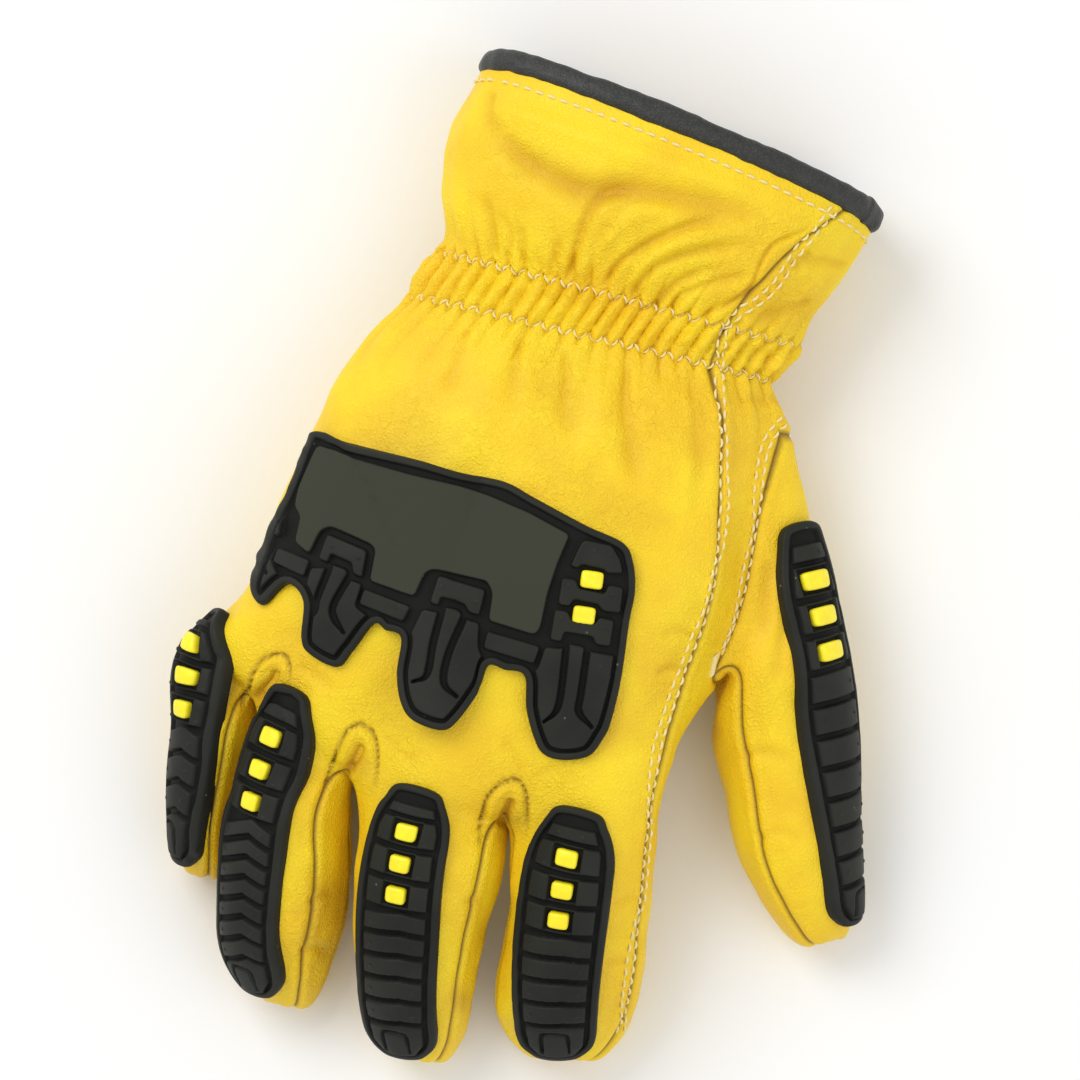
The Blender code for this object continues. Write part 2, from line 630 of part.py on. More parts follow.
def cuff_binding(points, normals, faces, material):
    """The leather binding: an oval roll round the cuff's edge."""
    border = border_edges(faces)
    following = dict(border)
    start = border[0][0]
    loop = [start]
    while following[loop[-1]] != start:
        loop.append(following[loop[-1]])
    outward = -drawn_in(points, normals, border)[loop]
    upward = normals[loop]
    middle = points[loop] - upward * LEATHER / 2 + outward * (SEAM_GAP + BINDING_WIDTH / 2)
    sides = BINDING_SIDES
    rings = []
    for k in range(sides):
        angle = 2 * math.pi * (k + 0.5) / sides
        rings.append(middle + outward * math.cos(angle) * BINDING_WIDTH / 2
                     + upward * math.sin(angle) * BINDING_DEPTH / 2)
    rings = settled(np.concatenate(rings)).reshape(sides, len(loop), 3)
    count = len(loop)
    walls = []
    for k in range(sides):
        n = (k + 1) % sides
        for a in range(count):
            b = (a + 1) % count
            walls.append((k * count + a, n * count + a, n * count + b, k * count + b))
    obj = mesh_object("cuff_binding", rings.reshape(-1, 3), walls)
    recalculated(obj)
    obj.data.materials.append(material)
    return obj


def recalculated(obj):
    """Turn a closed mesh's faces outwards."""
    work = bmesh.new()
    work.from_mesh(obj.data)
    bmesh.ops.recalc_face_normals(work, faces=work.faces)
    work.to_mesh(obj.data)
    work.free()


class Surface:
    """The leather, faceted and smooth, to lay the guards on: a ray meets
    whichever of the two is the higher."""

    def __init__(self, points, faces, fine_points, fine_faces):
        fine_faces = [tuple(k + len(points) for k in face) for face in fine_faces]
        self.tree = BVHTree.FromPolygons([Vector(p) for p in (*points, *fine_points)], faces + fine_faces)

    def meet(self, start, direction):
        """Where a ray meets the leather, and its normal there. A ray that
        passes beside the leather takes the nearest place to it."""
        hit, normal, _, _ = self.tree.ray_cast(Vector(start), Vector(direction))
        if hit is None:
            places = [Vector(start + direction * reach) for reach in np.linspace(0, 2 * RAY_START, 25)]
            found = [self.tree.find_nearest(place) for place in places]
            hit, normal, _, _ = min(found, key=lambda entry: entry[3])
        return np.array(hit), np.array(normal)


class Patch:
    """A place on the leather to lay a flat drawing on. In the drawing, x runs
    to the right and y ahead. The drawing's middle line runs through a start,
    a middle and an end point and turns with their facings. It never bends
    more sharply than the least radius, so that it bridges hollows."""

    def __init__(self, surface, spots, facings, least_radius):
        self.surface = surface
        self.least_radius = least_radius
        self.spots = np.array(spots)
        self.facings = np.array(facings)
        line = np.array([self.blend(self.spots, share) for share in np.linspace(0, 1, 21)])
        self.length = np.linalg.norm(np.diff(line, axis=0), axis=1).sum()

    @staticmethod
    def blend(three, share):
        """The curve through three values at shares 0, a half and 1."""
        weights = ((1 - share) * (1 - 2 * share), 4 * share * (1 - share), share * (2 * share - 1))
        return sum(weight * value for weight, value in zip(weights, three))

    def lay(self, x, y, height):
        """A point at a height over the leather, leaning half way from the
        drawing's facing to the leather's."""
        share = y / self.length + 0.5
        ahead = self.blend(self.spots, share + 0.01) - self.blend(self.spots, share - 0.01)
        facing = self.blend(self.facings, share)
        right = np.cross(facing, ahead)
        right /= np.linalg.norm(right)
        facing = np.cross(ahead, right)
        facing /= np.linalg.norm(facing)
        start = self.blend(self.spots, share) + right * x + facing * RAY_START
        hit, normal = self.surface.meet(start, -facing)
        deepest = RAY_START + GUARD_DIP + x * x / (2 * self.least_radius)
        if (start - hit) @ facing > deepest:
            hit = start - facing * deepest
            normal = facing + right * x / self.least_radius
            normal /= np.linalg.norm(normal)
        lean = normal + facing
        lean /= np.linalg.norm(lean)
        return hit + lean * height / max(lean @ normal, 0.6)


def prism(outline, low, high):
    """A flat drawing raised from one height to another, as a bmesh."""
    solid = bmesh.new()
    face = solid.faces.new([solid.verts.new((x, y, low)) for x, y in outline])
    raised = bmesh.ops.extrude_face_region(solid, geom=[face])["geom"]
    for vertex in raised:
        if isinstance(vertex, bmesh.types.BMVert):
            vertex.co.z = high
    bmesh.ops.recalc_face_normals(solid, faces=solid.faces)
    return solid


def flat_object(name, solids):
    """An object that holds some flat solids, which are freed."""
    mesh = bpy.data.meshes.new(name)
    whole = bmesh.new()
    for solid in solids:
        solid.to_mesh(mesh)
        whole.from_mesh(mesh)
        solid.free()
    whole.to_mesh(mesh)
    whole.free()
    obj = bpy.data.objects.new(name, mesh)
    bpy.context.scene.collection.objects.link(obj)
    return obj


def rimmed_base(outline):
    """The base of a guard: a flat sheet with a rim round its edge."""
    solid = prism(outline, 0.0, RIM_HEIGHT)
    top = max(solid.faces, key=lambda face: face.calc_center_median().z)
    bmesh.ops.inset_individual(solid, faces=[top], thickness=RIM_WIDTH, use_even_offset=True)
    floor = bmesh.ops.extrude_face_region(solid, geom=[top])["geom"]
    bmesh.ops.delete(solid, geom=[top], context="FACES_ONLY")
    for vertex in floor:
        if isinstance(vertex, bmesh.types.BMVert):
            vertex.co.z = GUARD_BASE
    bmesh.ops.recalc_face_normals(solid, faces=solid.faces)
    return solid


def relief(name, outline, blocks):
    """A rimmed base with blocks fused to its floor, still flat, as a bmesh.
    blocks are outlines with the height of each."""
    base = flat_object(name + "_base", [rimmed_base(outline)])
    raised = flat_object(name + "_blocks", [prism(shape, GUARD_BASE / 2, high) for shape, high in blocks])
    union = base.modifiers.new("blocks", "BOOLEAN")
    union.operation = "UNION"
    union.solver = "EXACT"
    union.object = raised
    bpy.context.view_layer.update()
    fused = base.evaluated_get(bpy.context.evaluated_depsgraph_get()).to_mesh()
    solid = bmesh.new()
    solid.from_mesh(fused)
    for obj in (base, raised):
        bpy.data.objects.remove(obj, do_unlink=True)
    bmesh.ops.dissolve_limit(solid, angle_limit=0.001, verts=solid.verts, edges=solid.edges)
    return solid


def cut_in_strips(solid, faces, across, ahead):
    """Cut faces into strips of about two widths, across and ahead."""
    for axis, width in ((0, across), (1, ahead)):
        places = [vertex.co[axis] for vertex in solid.verts]
        low, high = min(places), max(places)
        count = max(1, round((high - low) / width))
        normal = Vector((1 - axis, axis, 0))
        for k in range(1, count):
            chosen = faces(solid)
            geometry = {part for face in chosen for part in (*face.verts, *face.edges)}
            bmesh.ops.bisect_plane(solid, geom=chosen + list(geometry), dist=1e-6, plane_no=normal,
                                   plane_co=normal * (low + (high - low) * k / count))


def laid(name, solid, patch, material, strips=()):
    """Bend a flat solid onto the leather. It is first cut into strips, so
    that it has points to bend at: two widths for the whole of it, and two
    finer ones for its underside, which follows the leather."""
    if strips:
        cut_in_strips(solid, lambda work: work.faces[:], *strips[:2])
        under = lambda work: [face for face in work.faces if max(v.co.z for v in face.verts) < 1e-6]
        cut_in_strips(solid, under, *strips[2:])
    bmesh.ops.triangulate(solid, faces=solid.faces)
    for vertex in solid.verts:
        vertex.co = patch.lay(vertex.co.x, vertex.co.y, GUARD_LIFT + vertex.co.z)
    bmesh.ops.reverse_faces(solid, faces=solid.faces)
    obj = flat_object(name, [solid])
    obj.data.materials.append(material)
    return obj


def pad_outline(length, width, profile):
    """Outline of a long pad about its middle, from half widths along it."""
    rows = [((along - 0.5) * length, share * width / 2) for along, share in profile]
    return [(half, y) for y, half in rows] + [(-half, y) for y, half in rows[::-1]]


def finger_spot(surface, base, finger, sections, along, angle):
    """A place on a finger's skin, at a share of its length and an angle on
    its section, and the leather's normal there."""
    rows = np.array(sections)
    row = [along] + [np.interp(along, rows[:, 0], rows[:, k]) for k in range(1, 6)]
    centre = section(base, finger["heading"], finger["length"], finger["width"],
                     row, (0, 180)).mean(axis=0)
    across = turned(finger["heading"] + row[3])[1]
    outward = np.array([*(across * math.cos(math.radians(angle))), math.sin(math.radians(angle))])
    return surface.meet(centre, outward)


def finger_guard(name, patch, guard, materials):
    """The guard of one finger: a pad with a rim, a header, wings either side
    of each insert, bars across, and an end block."""
    length, width = patch.length, guard["width"]

    def half_width(y):
        """Half width of the tread at a place along the pad."""
        shares = np.array(PAD_PROFILE)
        share = np.interp(y / length + 0.5, shares[:, 0], shares[:, 1])
        return share * width / 2 - RIM_WIDTH - GROOVE

    def block(low, high, inner=None):
        """Outlines of a block between two places along the pad: one right
        across, or one either side of a free half width."""
        near, far = half_width(low), half_width(high)
        if inner is None:
            return [[(-near, low), (near, low), (far, high), (-far, high)]]
        if min(near, far) < inner + SLOT:
            return []
        right = [(inner, low), (near, low), (far, high), (inner, high)]
        return [right, [(-x, y) for x, y in right[::-1]]]

    insert_width = guard["insert_width"]
    first = guard["first_insert"] - length / 2
    shapes = block(HEADER_START - length / 2, first - INSERT_PITCH / 2)
    reach = (INSERT_PITCH - SLOT) / 2
    for number in range(INSERT_ROWS):
        y = first + number * INSERT_PITCH
        shapes += block(y - reach, y + reach, insert_width / 2 + POCKET)
        solid = prism(rectangle(0, y, insert_width, INSERT_LENGTH),
                      GUARD_BASE + INSERT_GAP, INSERT_HEIGHT)
        laid(name.replace("guard", "insert") + f"_{number + 1}", solid, patch, materials["insert"])
    start = first + (INSERT_ROWS - 0.5) * INSERT_PITCH + SLOT / 2
    end = length / 2 - RIM_WIDTH - GROOVE
    bars = max(1, round((end - END_BLOCK - start) / guard["bar_pitch"]))
    pitch = (end - END_BLOCK - start) / bars
    for k in range(bars):
        shapes += block(start + k * pitch, start + (k + 1) * pitch - SLOT)
    shapes += block(end - END_BLOCK, end)
    solid = relief(name, pad_outline(length, width, PAD_PROFILE),
                   [(shape, TREAD_HEIGHT) for shape in shapes])
    return laid(name, solid, patch, materials["rubber"], (width / 2, 3 * PAD_STRIP, width / 5, PAD_STRIP))


def rectangle(x, y, width, length, turn=0.0):
    """Corners of a rectangle about a middle."""
    c, s = math.cos(turn), math.sin(turn)
    corners = ((-0.5, -0.5), (0.5, -0.5), (0.5, 0.5), (-0.5, 0.5))
    return [(x + c * a * width - s * b * length, y + s * a * width + c * b * length) for a, b in corners]


def knuckle_guard(surface, left_edge, right_edge, materials):
    """The guard over the knuckles: a rimmed sheet with four tongues, a smooth
    plate, and ribbed columns. Its drawing is in shares of its breadth."""
    run = right_edge - left_edge
    middle = left_edge + KNUCKLE_GUARD_AT * run - turned(0)[0] * KNUCKLE_GUARD_BACK
    reach = KNUCKLE_GUARD_WIDTH / 2
    spots = [(middle[0], middle[1] - reach * step, HAND_HEIGHT) for step in (-1, 0, 1)]
    patch = Patch(surface, spots, [(0, 0, 1)] * 3, KNUCKLE_LEAST_RADIUS)
    scaled = lambda shape: [(x * KNUCKLE_GUARD_WIDTH / 100, y * KNUCKLE_GUARD_WIDTH / 100) for x, y in shape]
    blocks = [(scaled(KNUCKLE_PLATE), PLATE_HEIGHT)]
    blocks += [(scaled(shape), TREAD_HEIGHT) for shape in KNUCKLE_BLOCKS]
    solid = relief("knuckle_guard", scaled(KNUCKLE_OUTLINE), blocks)
    laid("knuckle_guard", solid, patch, materials["rubber"],
         (KNUCKLE_STRIP, 2 * KNUCKLE_STRIP, KNUCKLE_STRIP / 2, KNUCKLE_STRIP / 2))
    for number, (x, y) in enumerate(scaled(KNUCKLE_INSERTS)):
        corners = rectangle(x, y, KNUCKLE_INSERT_WIDTH, INSERT_LENGTH, KNUCKLE_INSERT_TURN)
        solid = prism(corners, GUARD_BASE + INSERT_GAP, INSERT_HEIGHT)
        laid(f"insert_knuckle_{number + 1}", solid, patch, materials["insert"])


def centred():
    """Move every mesh so that the middle of the glove's plan is the origin."""
    bpy.context.view_layer.update()
    meshes = [obj for obj in bpy.data.objects if obj.type == "MESH"]
    corners = np.array([v.co for obj in meshes if not obj.hide_render for v in obj.data.vertices])
    middle = (corners.min(axis=0) + corners.max(axis=0)) / 2
    for obj in meshes:
        for vertex in obj.data.vertices:
            vertex.co.x -= middle[0]
            vertex.co.y -= middle[1]


def main():
    """Build every piece of the glove."""
    clear_scene()
    materials = {
        "leather": make_material("yellow_leather", LEATHER_COLOUR, 0.45),
        "rubber": make_material("black_rubber", RUBBER_COLOUR, 0.55),
        "insert": make_material("yellow_insert", INSERT_COLOUR, 0.35),
        "binding": make_material("black_binding", BINDING_COLOUR, 0.5),
    }
    skin = Skin()
    rings, hole = add_hand(skin)
    bases = add_fingers(skin, rings[-1])
    bases["thumb"] = add_thumb(skin, rings, hole)
    control = fitted_control(skin)

    points, faces, kinds = subdivided(control, 1)
    points = settled(points)
    normals = point_normals(points, faces)
    cuff_binding(points, normals, faces, materials["binding"])
    points, faces, kinds, normals = gathered(points, faces, kinds, normals)
    for number, name in enumerate(PANELS):
        chosen = [face for face, kind in zip(faces, kinds % 16) if kind == number]
        panel_wall(name, points, normals, chosen, materials["leather"])

    fine_points, fine_faces, _ = subdivided(control, 3)
    surface = Surface(points, faces, settled(fine_points), fine_faces)
    edges = np.array(skin.points)[[rings[-1][19], rings[-1][10]]][:, :2]
    knuckle_guard(surface, edges[0], edges[1], materials)
    for name, guard in GUARDS.items():
        finger = FINGERS.get(name, THUMB)
        rows = SECTIONS.get(name, THUMB_SECTIONS)
        found = [finger_spot(surface, bases[name], finger, rows, *spot) for spot in guard["spots"]]
        patch = Patch(surface, [spot for spot, _ in found], [normal for _, normal in found],
                      PAD_LEAST_RADIUS)
        finger_guard("guard_" + name, patch, guard, materials)
    bpy.data.objects.remove(control, do_unlink=True)
    centred()


main()
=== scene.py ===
"""Looks of the impact work glove: grain leather, stitches, binding and guards.

Laid out as an add-on and run as a script. The leather is the same smooth skin
that the solids are cut from, with its gathers, folds and seams worked into it.
"""
import math

import bpy
import numpy as np
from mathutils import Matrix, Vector
from mathutils.bvhtree import BVHTree


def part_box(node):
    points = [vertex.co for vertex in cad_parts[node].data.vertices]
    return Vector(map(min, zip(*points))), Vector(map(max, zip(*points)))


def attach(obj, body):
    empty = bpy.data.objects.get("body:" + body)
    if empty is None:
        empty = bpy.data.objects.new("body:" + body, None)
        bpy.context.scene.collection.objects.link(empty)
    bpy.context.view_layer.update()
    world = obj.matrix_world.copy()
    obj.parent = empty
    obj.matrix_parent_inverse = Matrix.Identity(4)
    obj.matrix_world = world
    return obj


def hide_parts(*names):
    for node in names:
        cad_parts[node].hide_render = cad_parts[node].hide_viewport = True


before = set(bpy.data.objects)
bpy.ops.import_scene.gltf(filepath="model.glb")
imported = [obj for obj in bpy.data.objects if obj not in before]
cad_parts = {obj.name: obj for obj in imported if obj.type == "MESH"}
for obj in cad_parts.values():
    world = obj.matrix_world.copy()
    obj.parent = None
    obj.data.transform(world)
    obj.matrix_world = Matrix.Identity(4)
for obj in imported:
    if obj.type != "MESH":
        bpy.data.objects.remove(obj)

bl_info = {
    "name": "Impact work glove",
    "version": (1, 0, 0),
    "blender": (4, 5, 0),
    "location": "3D View > Sidebar > Glove",
    "description": "Leather, stitching, binding and rubber guards of a work glove",
    "category": "Add Mesh",
}

# Sizes of the hand, as in the solids
GLOVE_LENGTH = 0.260
GLOVE_BREADTH = 0.180
CUFF_WIDTH = 0.107
WRIST_WIDTH = 0.096
HAND_WIDTH = 0.120
HAND_HEIGHT = 0.054

# Length and width of each finger and of the thumb
LITTLE_LENGTH, LITTLE_WIDTH = 0.078, 0.024
RING_LENGTH, RING_WIDTH = 0.104, 0.033
MIDDLE_LENGTH, MIDDLE_WIDTH = 0.111, 0.036
INDEX_LENGTH, INDEX_WIDTH = 0.103, 0.037
THUMB_LENGTH, THUMB_WIDTH = 0.110, 0.036

# Walls, gaps and guards, as in the solids
LEATHER = 0.0014
SEAM_GAP = 0.0003
PUFF_HEIGHT = 0.0011
FLOOR_SOFTNESS = 0.0022

# Binding of the cuff's edge
BINDING_WIDTH = 0.0058
BINDING_DEPTH = 0.0042

# Rubber guards
GUARD_BASE = 0.0013
RIM_HEIGHT = 0.0024
RIM_WIDTH = 0.0019
GROOVE = 0.0012
TREAD_HEIGHT = 0.0032
PLATE_HEIGHT = 0.0027
HEADER_START = 0.0045
SLOT = 0.0013
END_BLOCK = 0.0085
POCKET = 0.0008
INSERT_ROWS = 3
INSERT_PITCH = 0.0085
INSERT_LENGTH = 0.0043
INSERT_HEIGHT = 0.0035
KNUCKLE_GUARD_WIDTH = 0.0986
KNUCKLE_GUARD_AT = 0.405
KNUCKLE_GUARD_BACK = 0.0074
KNUCKLE_INSERT_WIDTH = 0.0055
KNUCKLE_INSERT_TURN = 0.14

# How guards are laid: where rays towards the leather start, how far a guard
# may sink under its middle line, and the least radii that it bends to
RAY_START = 0.06
GUARD_DIP = 0.0004
PAD_LEAST_RADIUS = 0.0110
KNUCKLE_LEAST_RADIUS = 0.020

# Rings round the hand, from the cuff's edge to the knuckles. The middle's
# place is a share of the glove's breadth and length, the width a share of the
# named width, the heights shares of the hand's height, the turn in degrees.
# bow is how far the middle of a ring lies nearer the cuff than its ends do,
# low, middle and crown the heights of its underside, its edges and its top.
# seam and thumb say how far across the two long seams lie.
HAND_RINGS = (
    # name, width of, aside, along, turn, width, bow, low, middle, crown, top at, seam, thumb
    ("cuff_edge", "cuff", 0.190, 0.381, -22.4, 0.99, 0.035, 0.03, 0.46, 0.90, 0.50, 0.930, 0.985),
    ("cuff_full", "cuff", 0.148, 0.322, -16.8, 0.99, 0.02, 0.00, 0.47, 0.94, 0.50, 0.865, 0.970),
    ("cuff_neck", "cuff", 0.125, 0.264, -13.4, 0.89, 0.0, 0.06, 0.45, 0.85, 0.50, 0.820, 0.960),
    ("gather_top", "wrist", 0.108, 0.236, -14.8, 0.98, 0.0, 0.09, 0.43, 0.78, 0.50, 0.800, 0.955),
    ("gather_low", "wrist", 0.071, 0.198, -13.3, 0.975, 0.0, 0.08, 0.43, 0.78, 0.50, 0.830, 0.965),
    ("wrist", "wrist", 0.042, 0.144, -10.5, 1.16, 0.0, -0.03, 0.42, 0.87, 0.52, 0.850, 0.985),
    ("heel", "hand", 0.001, 0.068, -8.7, 0.98, 0.0, -0.07, 0.41, 0.95, 0.55, 0.885, 0.975),
    ("back", "hand", -0.035, -0.012, -10.1, 1.02, 0.0, -0.06, 0.40, 1.00, 0.57, 0.915, 0.980),
    ("knuckle", "hand", -0.078, -0.086, -11.6, 1.00, 0.0, 0.08, 0.42, 0.98, 0.60, 0.935, 0.990),
)
WIDTHS = {"cuff": CUFF_WIDTH, "wrist": WRIST_WIDTH, "hand": HAND_WIDTH}

# Where the columns of the back lie between the left edge and the long seam,
# and those of the palm between the two edges, at the cuff and at the knuckles
BACK_COLUMNS_CUFF = (0.045, 0.15, 0.27, 0.39, 0.51, 0.63, 0.75, 0.875)
BACK_COLUMNS_KNUCKLE = (0.037, 0.13, 0.215, 0.335, 0.42, 0.58, 0.69, 0.86)
PALM_COLUMNS_CUFF = (0.06, 0.17, 0.29, 0.41, 0.53, 0.65, 0.77, 0.90)
PALM_COLUMNS_KNUCKLE = (0.07, 0.17, 0.26, 0.37, 0.45, 0.60, 0.70, 0.88)

# Fingers. start is the share of the knuckle row that the axis starts at,
# heading the degrees from straight ahead, and the angles are those of the
# columns round a section, from the thumb's side up over the back.
FINGERS = {
    "little": dict(length=LITTLE_LENGTH, width=LITTLE_WIDTH, start=-0.03, heading=-6,
                   back=(165, 120), right=(72, 5), palm=(-40, -85), left=(-140,),
                   first_palm=(-60, -92)),
    "ring": dict(length=RING_LENGTH, width=RING_WIDTH, start=0.165, heading=-8,
                 back=(160, 112), right=(64, 0), palm=(-42, -82), left=(-110, -160),
                 first_palm=(-55, -95), first_back=(142, 108)),
    "middle": dict(length=MIDDLE_LENGTH, width=MIDDLE_WIDTH, start=0.43, heading=-6,
                   back=(138, 90), right=(46, -2), palm=(-45, -92), left=(-134, 180)),
    "index": dict(length=INDEX_LENGTH, width=INDEX_WIDTH, start=0.77, heading=-7,
                  back=(134, 84, 30), right=(-8, -45), palm=(-82, -125), left=(-157, 172)),
}
# Sections of each finger: lengths are shares of its length, widths of its
# width, heights of the hand's height, the turn in degrees
SECTIONS = {
    # along, aside, width, turn, low, top
    "little": ((0.264, -0.07, 0.75, -21, 0.08, 0.56), (0.460, -0.06, 0.80, -4, 0.06, 0.53),
               (0.590, -0.08, 0.73, -1, 0.02, 0.49), (0.761, -0.10, 0.60, 2, -0.02, 0.43),
               (0.880, -0.09, 0.50, 2, -0.02, 0.36), (0.970, -0.06, 0.40, -3, 0.04, 0.24)),
    "ring": ((0.326, 0.02, 0.64, -20, 0.22, 0.76), (0.495, -0.03, 0.83, -4, 0.18, 0.73),
             (0.615, -0.03, 0.92, 1, 0.13, 0.68), (0.758, 0.01, 0.90, 5, 0.05, 0.59),
             (0.881, 0.02, 0.76, 4, -0.02, 0.47), (0.988, 0.10, 0.38, 0, 0.02, 0.27)),
    "middle": ((0.379, -0.004, 0.95, -8, 0.28, 0.87), (0.545, 0.018, 1.02, -1, 0.24, 0.84),
               (0.681, 0.00, 0.95, 1, 0.15, 0.75), (0.800, 0.01, 0.83, 1, 0.06, 0.64),
               (0.914, 0.04, 0.70, 0, -0.02, 0.49), (0.994, 0.08, 0.41, -1, 0.02, 0.28)),
    "index": ((0.338, -0.005, 1.02, 18, 0.28, 0.88), (0.506, -0.015, 0.97, 12, 0.24, 0.84),
              (0.638, 0.00, 0.97, 10, 0.15, 0.75), (0.769, 0.00, 0.99, 8, 0.06, 0.64),
              (0.898, 0.01, 0.92, 8, -0.02, 0.48), (0.993, 0.03, 0.52, 7, 0.02, 0.27)),
}
# The leather between two fingers: where its two points lie between the
# neighbouring first sections, ahead of them, and their heights
WEBS = (
    # ahead as a share of the ring finger's width, heights of the hand's height
    dict(ahead=-0.12, upper=0.50, lower=0.22),
    dict(ahead=-0.08, upper=0.64, lower=0.32),
    dict(ahead=-0.04, upper=0.66, lower=0.36),
)
# The thumb grows out of the hole between two hand rings
THUMB_FIRST_RING = "wrist"
THUMB_HEADING = 11
THUMB_ANGLES = (0, 320, 283, 245, 205, 165, 125, 92, 62, 33)
THUMB_SECTIONS = (
    # along, aside, width, turn, low, top
    (0.330, -0.18, 1.04, 28, 0.00, 0.66), (0.467, -0.215, 1.02, 12, -0.01, 0.61),
    (0.617, -0.24, 0.91, 3, -0.02, 0.57), (0.773, -0.29, 0.80, -2, -0.02, 0.53),
    (0.904, -0.265, 0.63, -4, 0.00, 0.45), (1.000, -0.21, 0.36, -1, 0.06, 0.31),
)

THUMB = dict(length=THUMB_LENGTH, width=THUMB_WIDTH, heading=THUMB_HEADING)

# Guards of the fingers and thumb: the start, middle and end of the centre
# line, each as a share of the finger's length and an angle on its section
GUARDS = {
    "little": dict(spots=((0.12, 99), (0.50, 128), (0.93, 136)), width=0.0172,
                   first_insert=0.0110, insert_width=0.0044, bar_pitch=0.0070),
    "ring": dict(spots=((0.25, 116), (0.62, 134), (0.97, 138)), width=0.0205,
                 first_insert=0.0125, insert_width=0.0049, bar_pitch=0.0058),
    "middle": dict(spots=((0.38, 103), (0.69, 112), (0.985, 112)), width=0.0212,
                   first_insert=0.0120, insert_width=0.0049, bar_pitch=0.0063),
    "index": dict(spots=((0.37, 101), (0.69, 106), (0.985, 104)), width=0.0222,
                  first_insert=0.0128, insert_width=0.0049, bar_pitch=0.0063),
    "thumb": dict(spots=((0.11, 42), (0.56, 38), (0.97, 24)), width=0.0205,
                  first_insert=0.0130, insert_width=0.0080, bar_pitch=0.0087),
}
# Half width of a pad along its length, both as shares
PAD_PROFILE = ((0.0, 0.42), (0.05, 0.70), (0.15, 0.93), (0.30, 1.0), (0.55, 1.0),
               (0.80, 0.94), (0.93, 0.85), (0.985, 0.55), (1.0, 0.25))

# Drawing of the knuckle guard, in hundredths of its breadth: x towards the
# thumb, y towards the fingertips
KNUCKLE_OUTLINE = (
    (-33, -38.5), (-31.5, -40.5), (-29, -40.5), (-23, -38), (-5, -33.5), (5, -30.5),
    (16.5, -28), (24, -24), (37, -17), (46.5, -12.5), (49, -7.5), (49.5, -0.5), (48, 7.5),
    (46, 21.5), (43.5, 32.5), (41.5, 37), (38, 41.5), (31.5, 42.5), (26.5, 41), (24, 37),
    (22, 29.5), (21.5, 21), (16.5, 19.5), (12.5, 18.5), (10, 24.5), (4.5, 32.5), (0.5, 35),
    (-6.5, 32.5), (-9.5, 28), (-10.5, 20.5), (-9.5, 11.5), (-13.5, 9.5), (-16.5, 8),
    (-22, 15), (-26, 19), (-33, 15.5), (-35, 11.5), (-34.5, 2), (-38.5, -2), (-44, 3),
    (-46.5, 2.5), (-47.5, -1.5), (-44.5, -10.5), (-41.5, -18.5), (-37.5, -27),
)
KNUCKLE_PLATE = (
    (-30, -37), (-23.5, -35), (-7, -30), (5, -27), (12.5, -24.5), (23, -20), (33, -14.5),
    (30, -7.5), (27.5, 0), (25.5, 9), (24, 10.5), (12.5, 7), (13.5, 0), (12, -3), (-1.5, -6),
    (-3.5, -5), (-6, 1), (-17.5, -3), (-16, -10.5), (-17, -12), (-27, -16.5), (-29.5, -15.5),
    (-32.5, -9.5), (-36, -12.5), (-34.5, -19), (-36, -21.5), (-35, -26), (-31.5, -34),
)
KNUCKLE_INSERTS = ((38.5, -3.2), (36.5, 5.6))

FINGER_NAMES = tuple(FINGERS)
# Labels of the panels
BACK, PALM, FOURCHETTES, THUMB_BACK, THUMB_PALM = 0, 1, (2, 3, 4), 5, 6

# The camera looks straight down on the back of the hand from a place over the
# glove. Lines drawn on the glove are given in its picture, 1080 across.
CAMERA_PLACE = (0.0047, 0.0044, 3.0)
PICTURE = 1080
PICTURE_WIDTH = 0.2754
SENSOR = 36.0

# Raised parts of the knuckle guard, in places of the picture: the middle of
# its drawing there, and the places to a hundredth of its breadth
KNUCKLE_MIDDLE = (440, 590)
KNUCKLE_SCALE = 3.93
RIB_BRACKETS = (
    ((331, 533), (369, 549), (364, 575), (355, 571), (354, 561), (334, 552), (331, 561), (322, 557)),
    ((439, 573), (486, 587), (480, 612), (469, 609), (466, 601), (441, 594), (439, 603), (431, 600)),
    ((268, 494), (289, 507), (284, 536), (275, 532), (274, 522), (263, 515), (258, 514)),
)
BRIDGE_BLOCKS = (
    ((283, 547), (313, 559), (307, 575), (277, 561)),
    ((366, 586), (413, 604), (406, 619), (361, 601)),
    ((488, 628), (540, 643), (534, 660), (484, 645)),
)
INDEX_BLOCKS = (
    ((585, 538), (611, 544), (619, 557), (622, 571), (606, 571), (603, 567), (581, 562), (577, 566),
     (570, 564), (580, 542)),
    ((562, 575), (575, 577), (578, 586), (604, 591), (608, 582), (622, 585), (619, 610), (602, 608),
     (597, 601), (573, 596), (569, 603), (558, 601)),
    ((555, 606), (567, 608), (571, 617), (594, 621), (599, 614), (613, 617), (609, 643), (595, 641),
     (592, 633), (564, 628), (561, 638), (550, 636)),
)
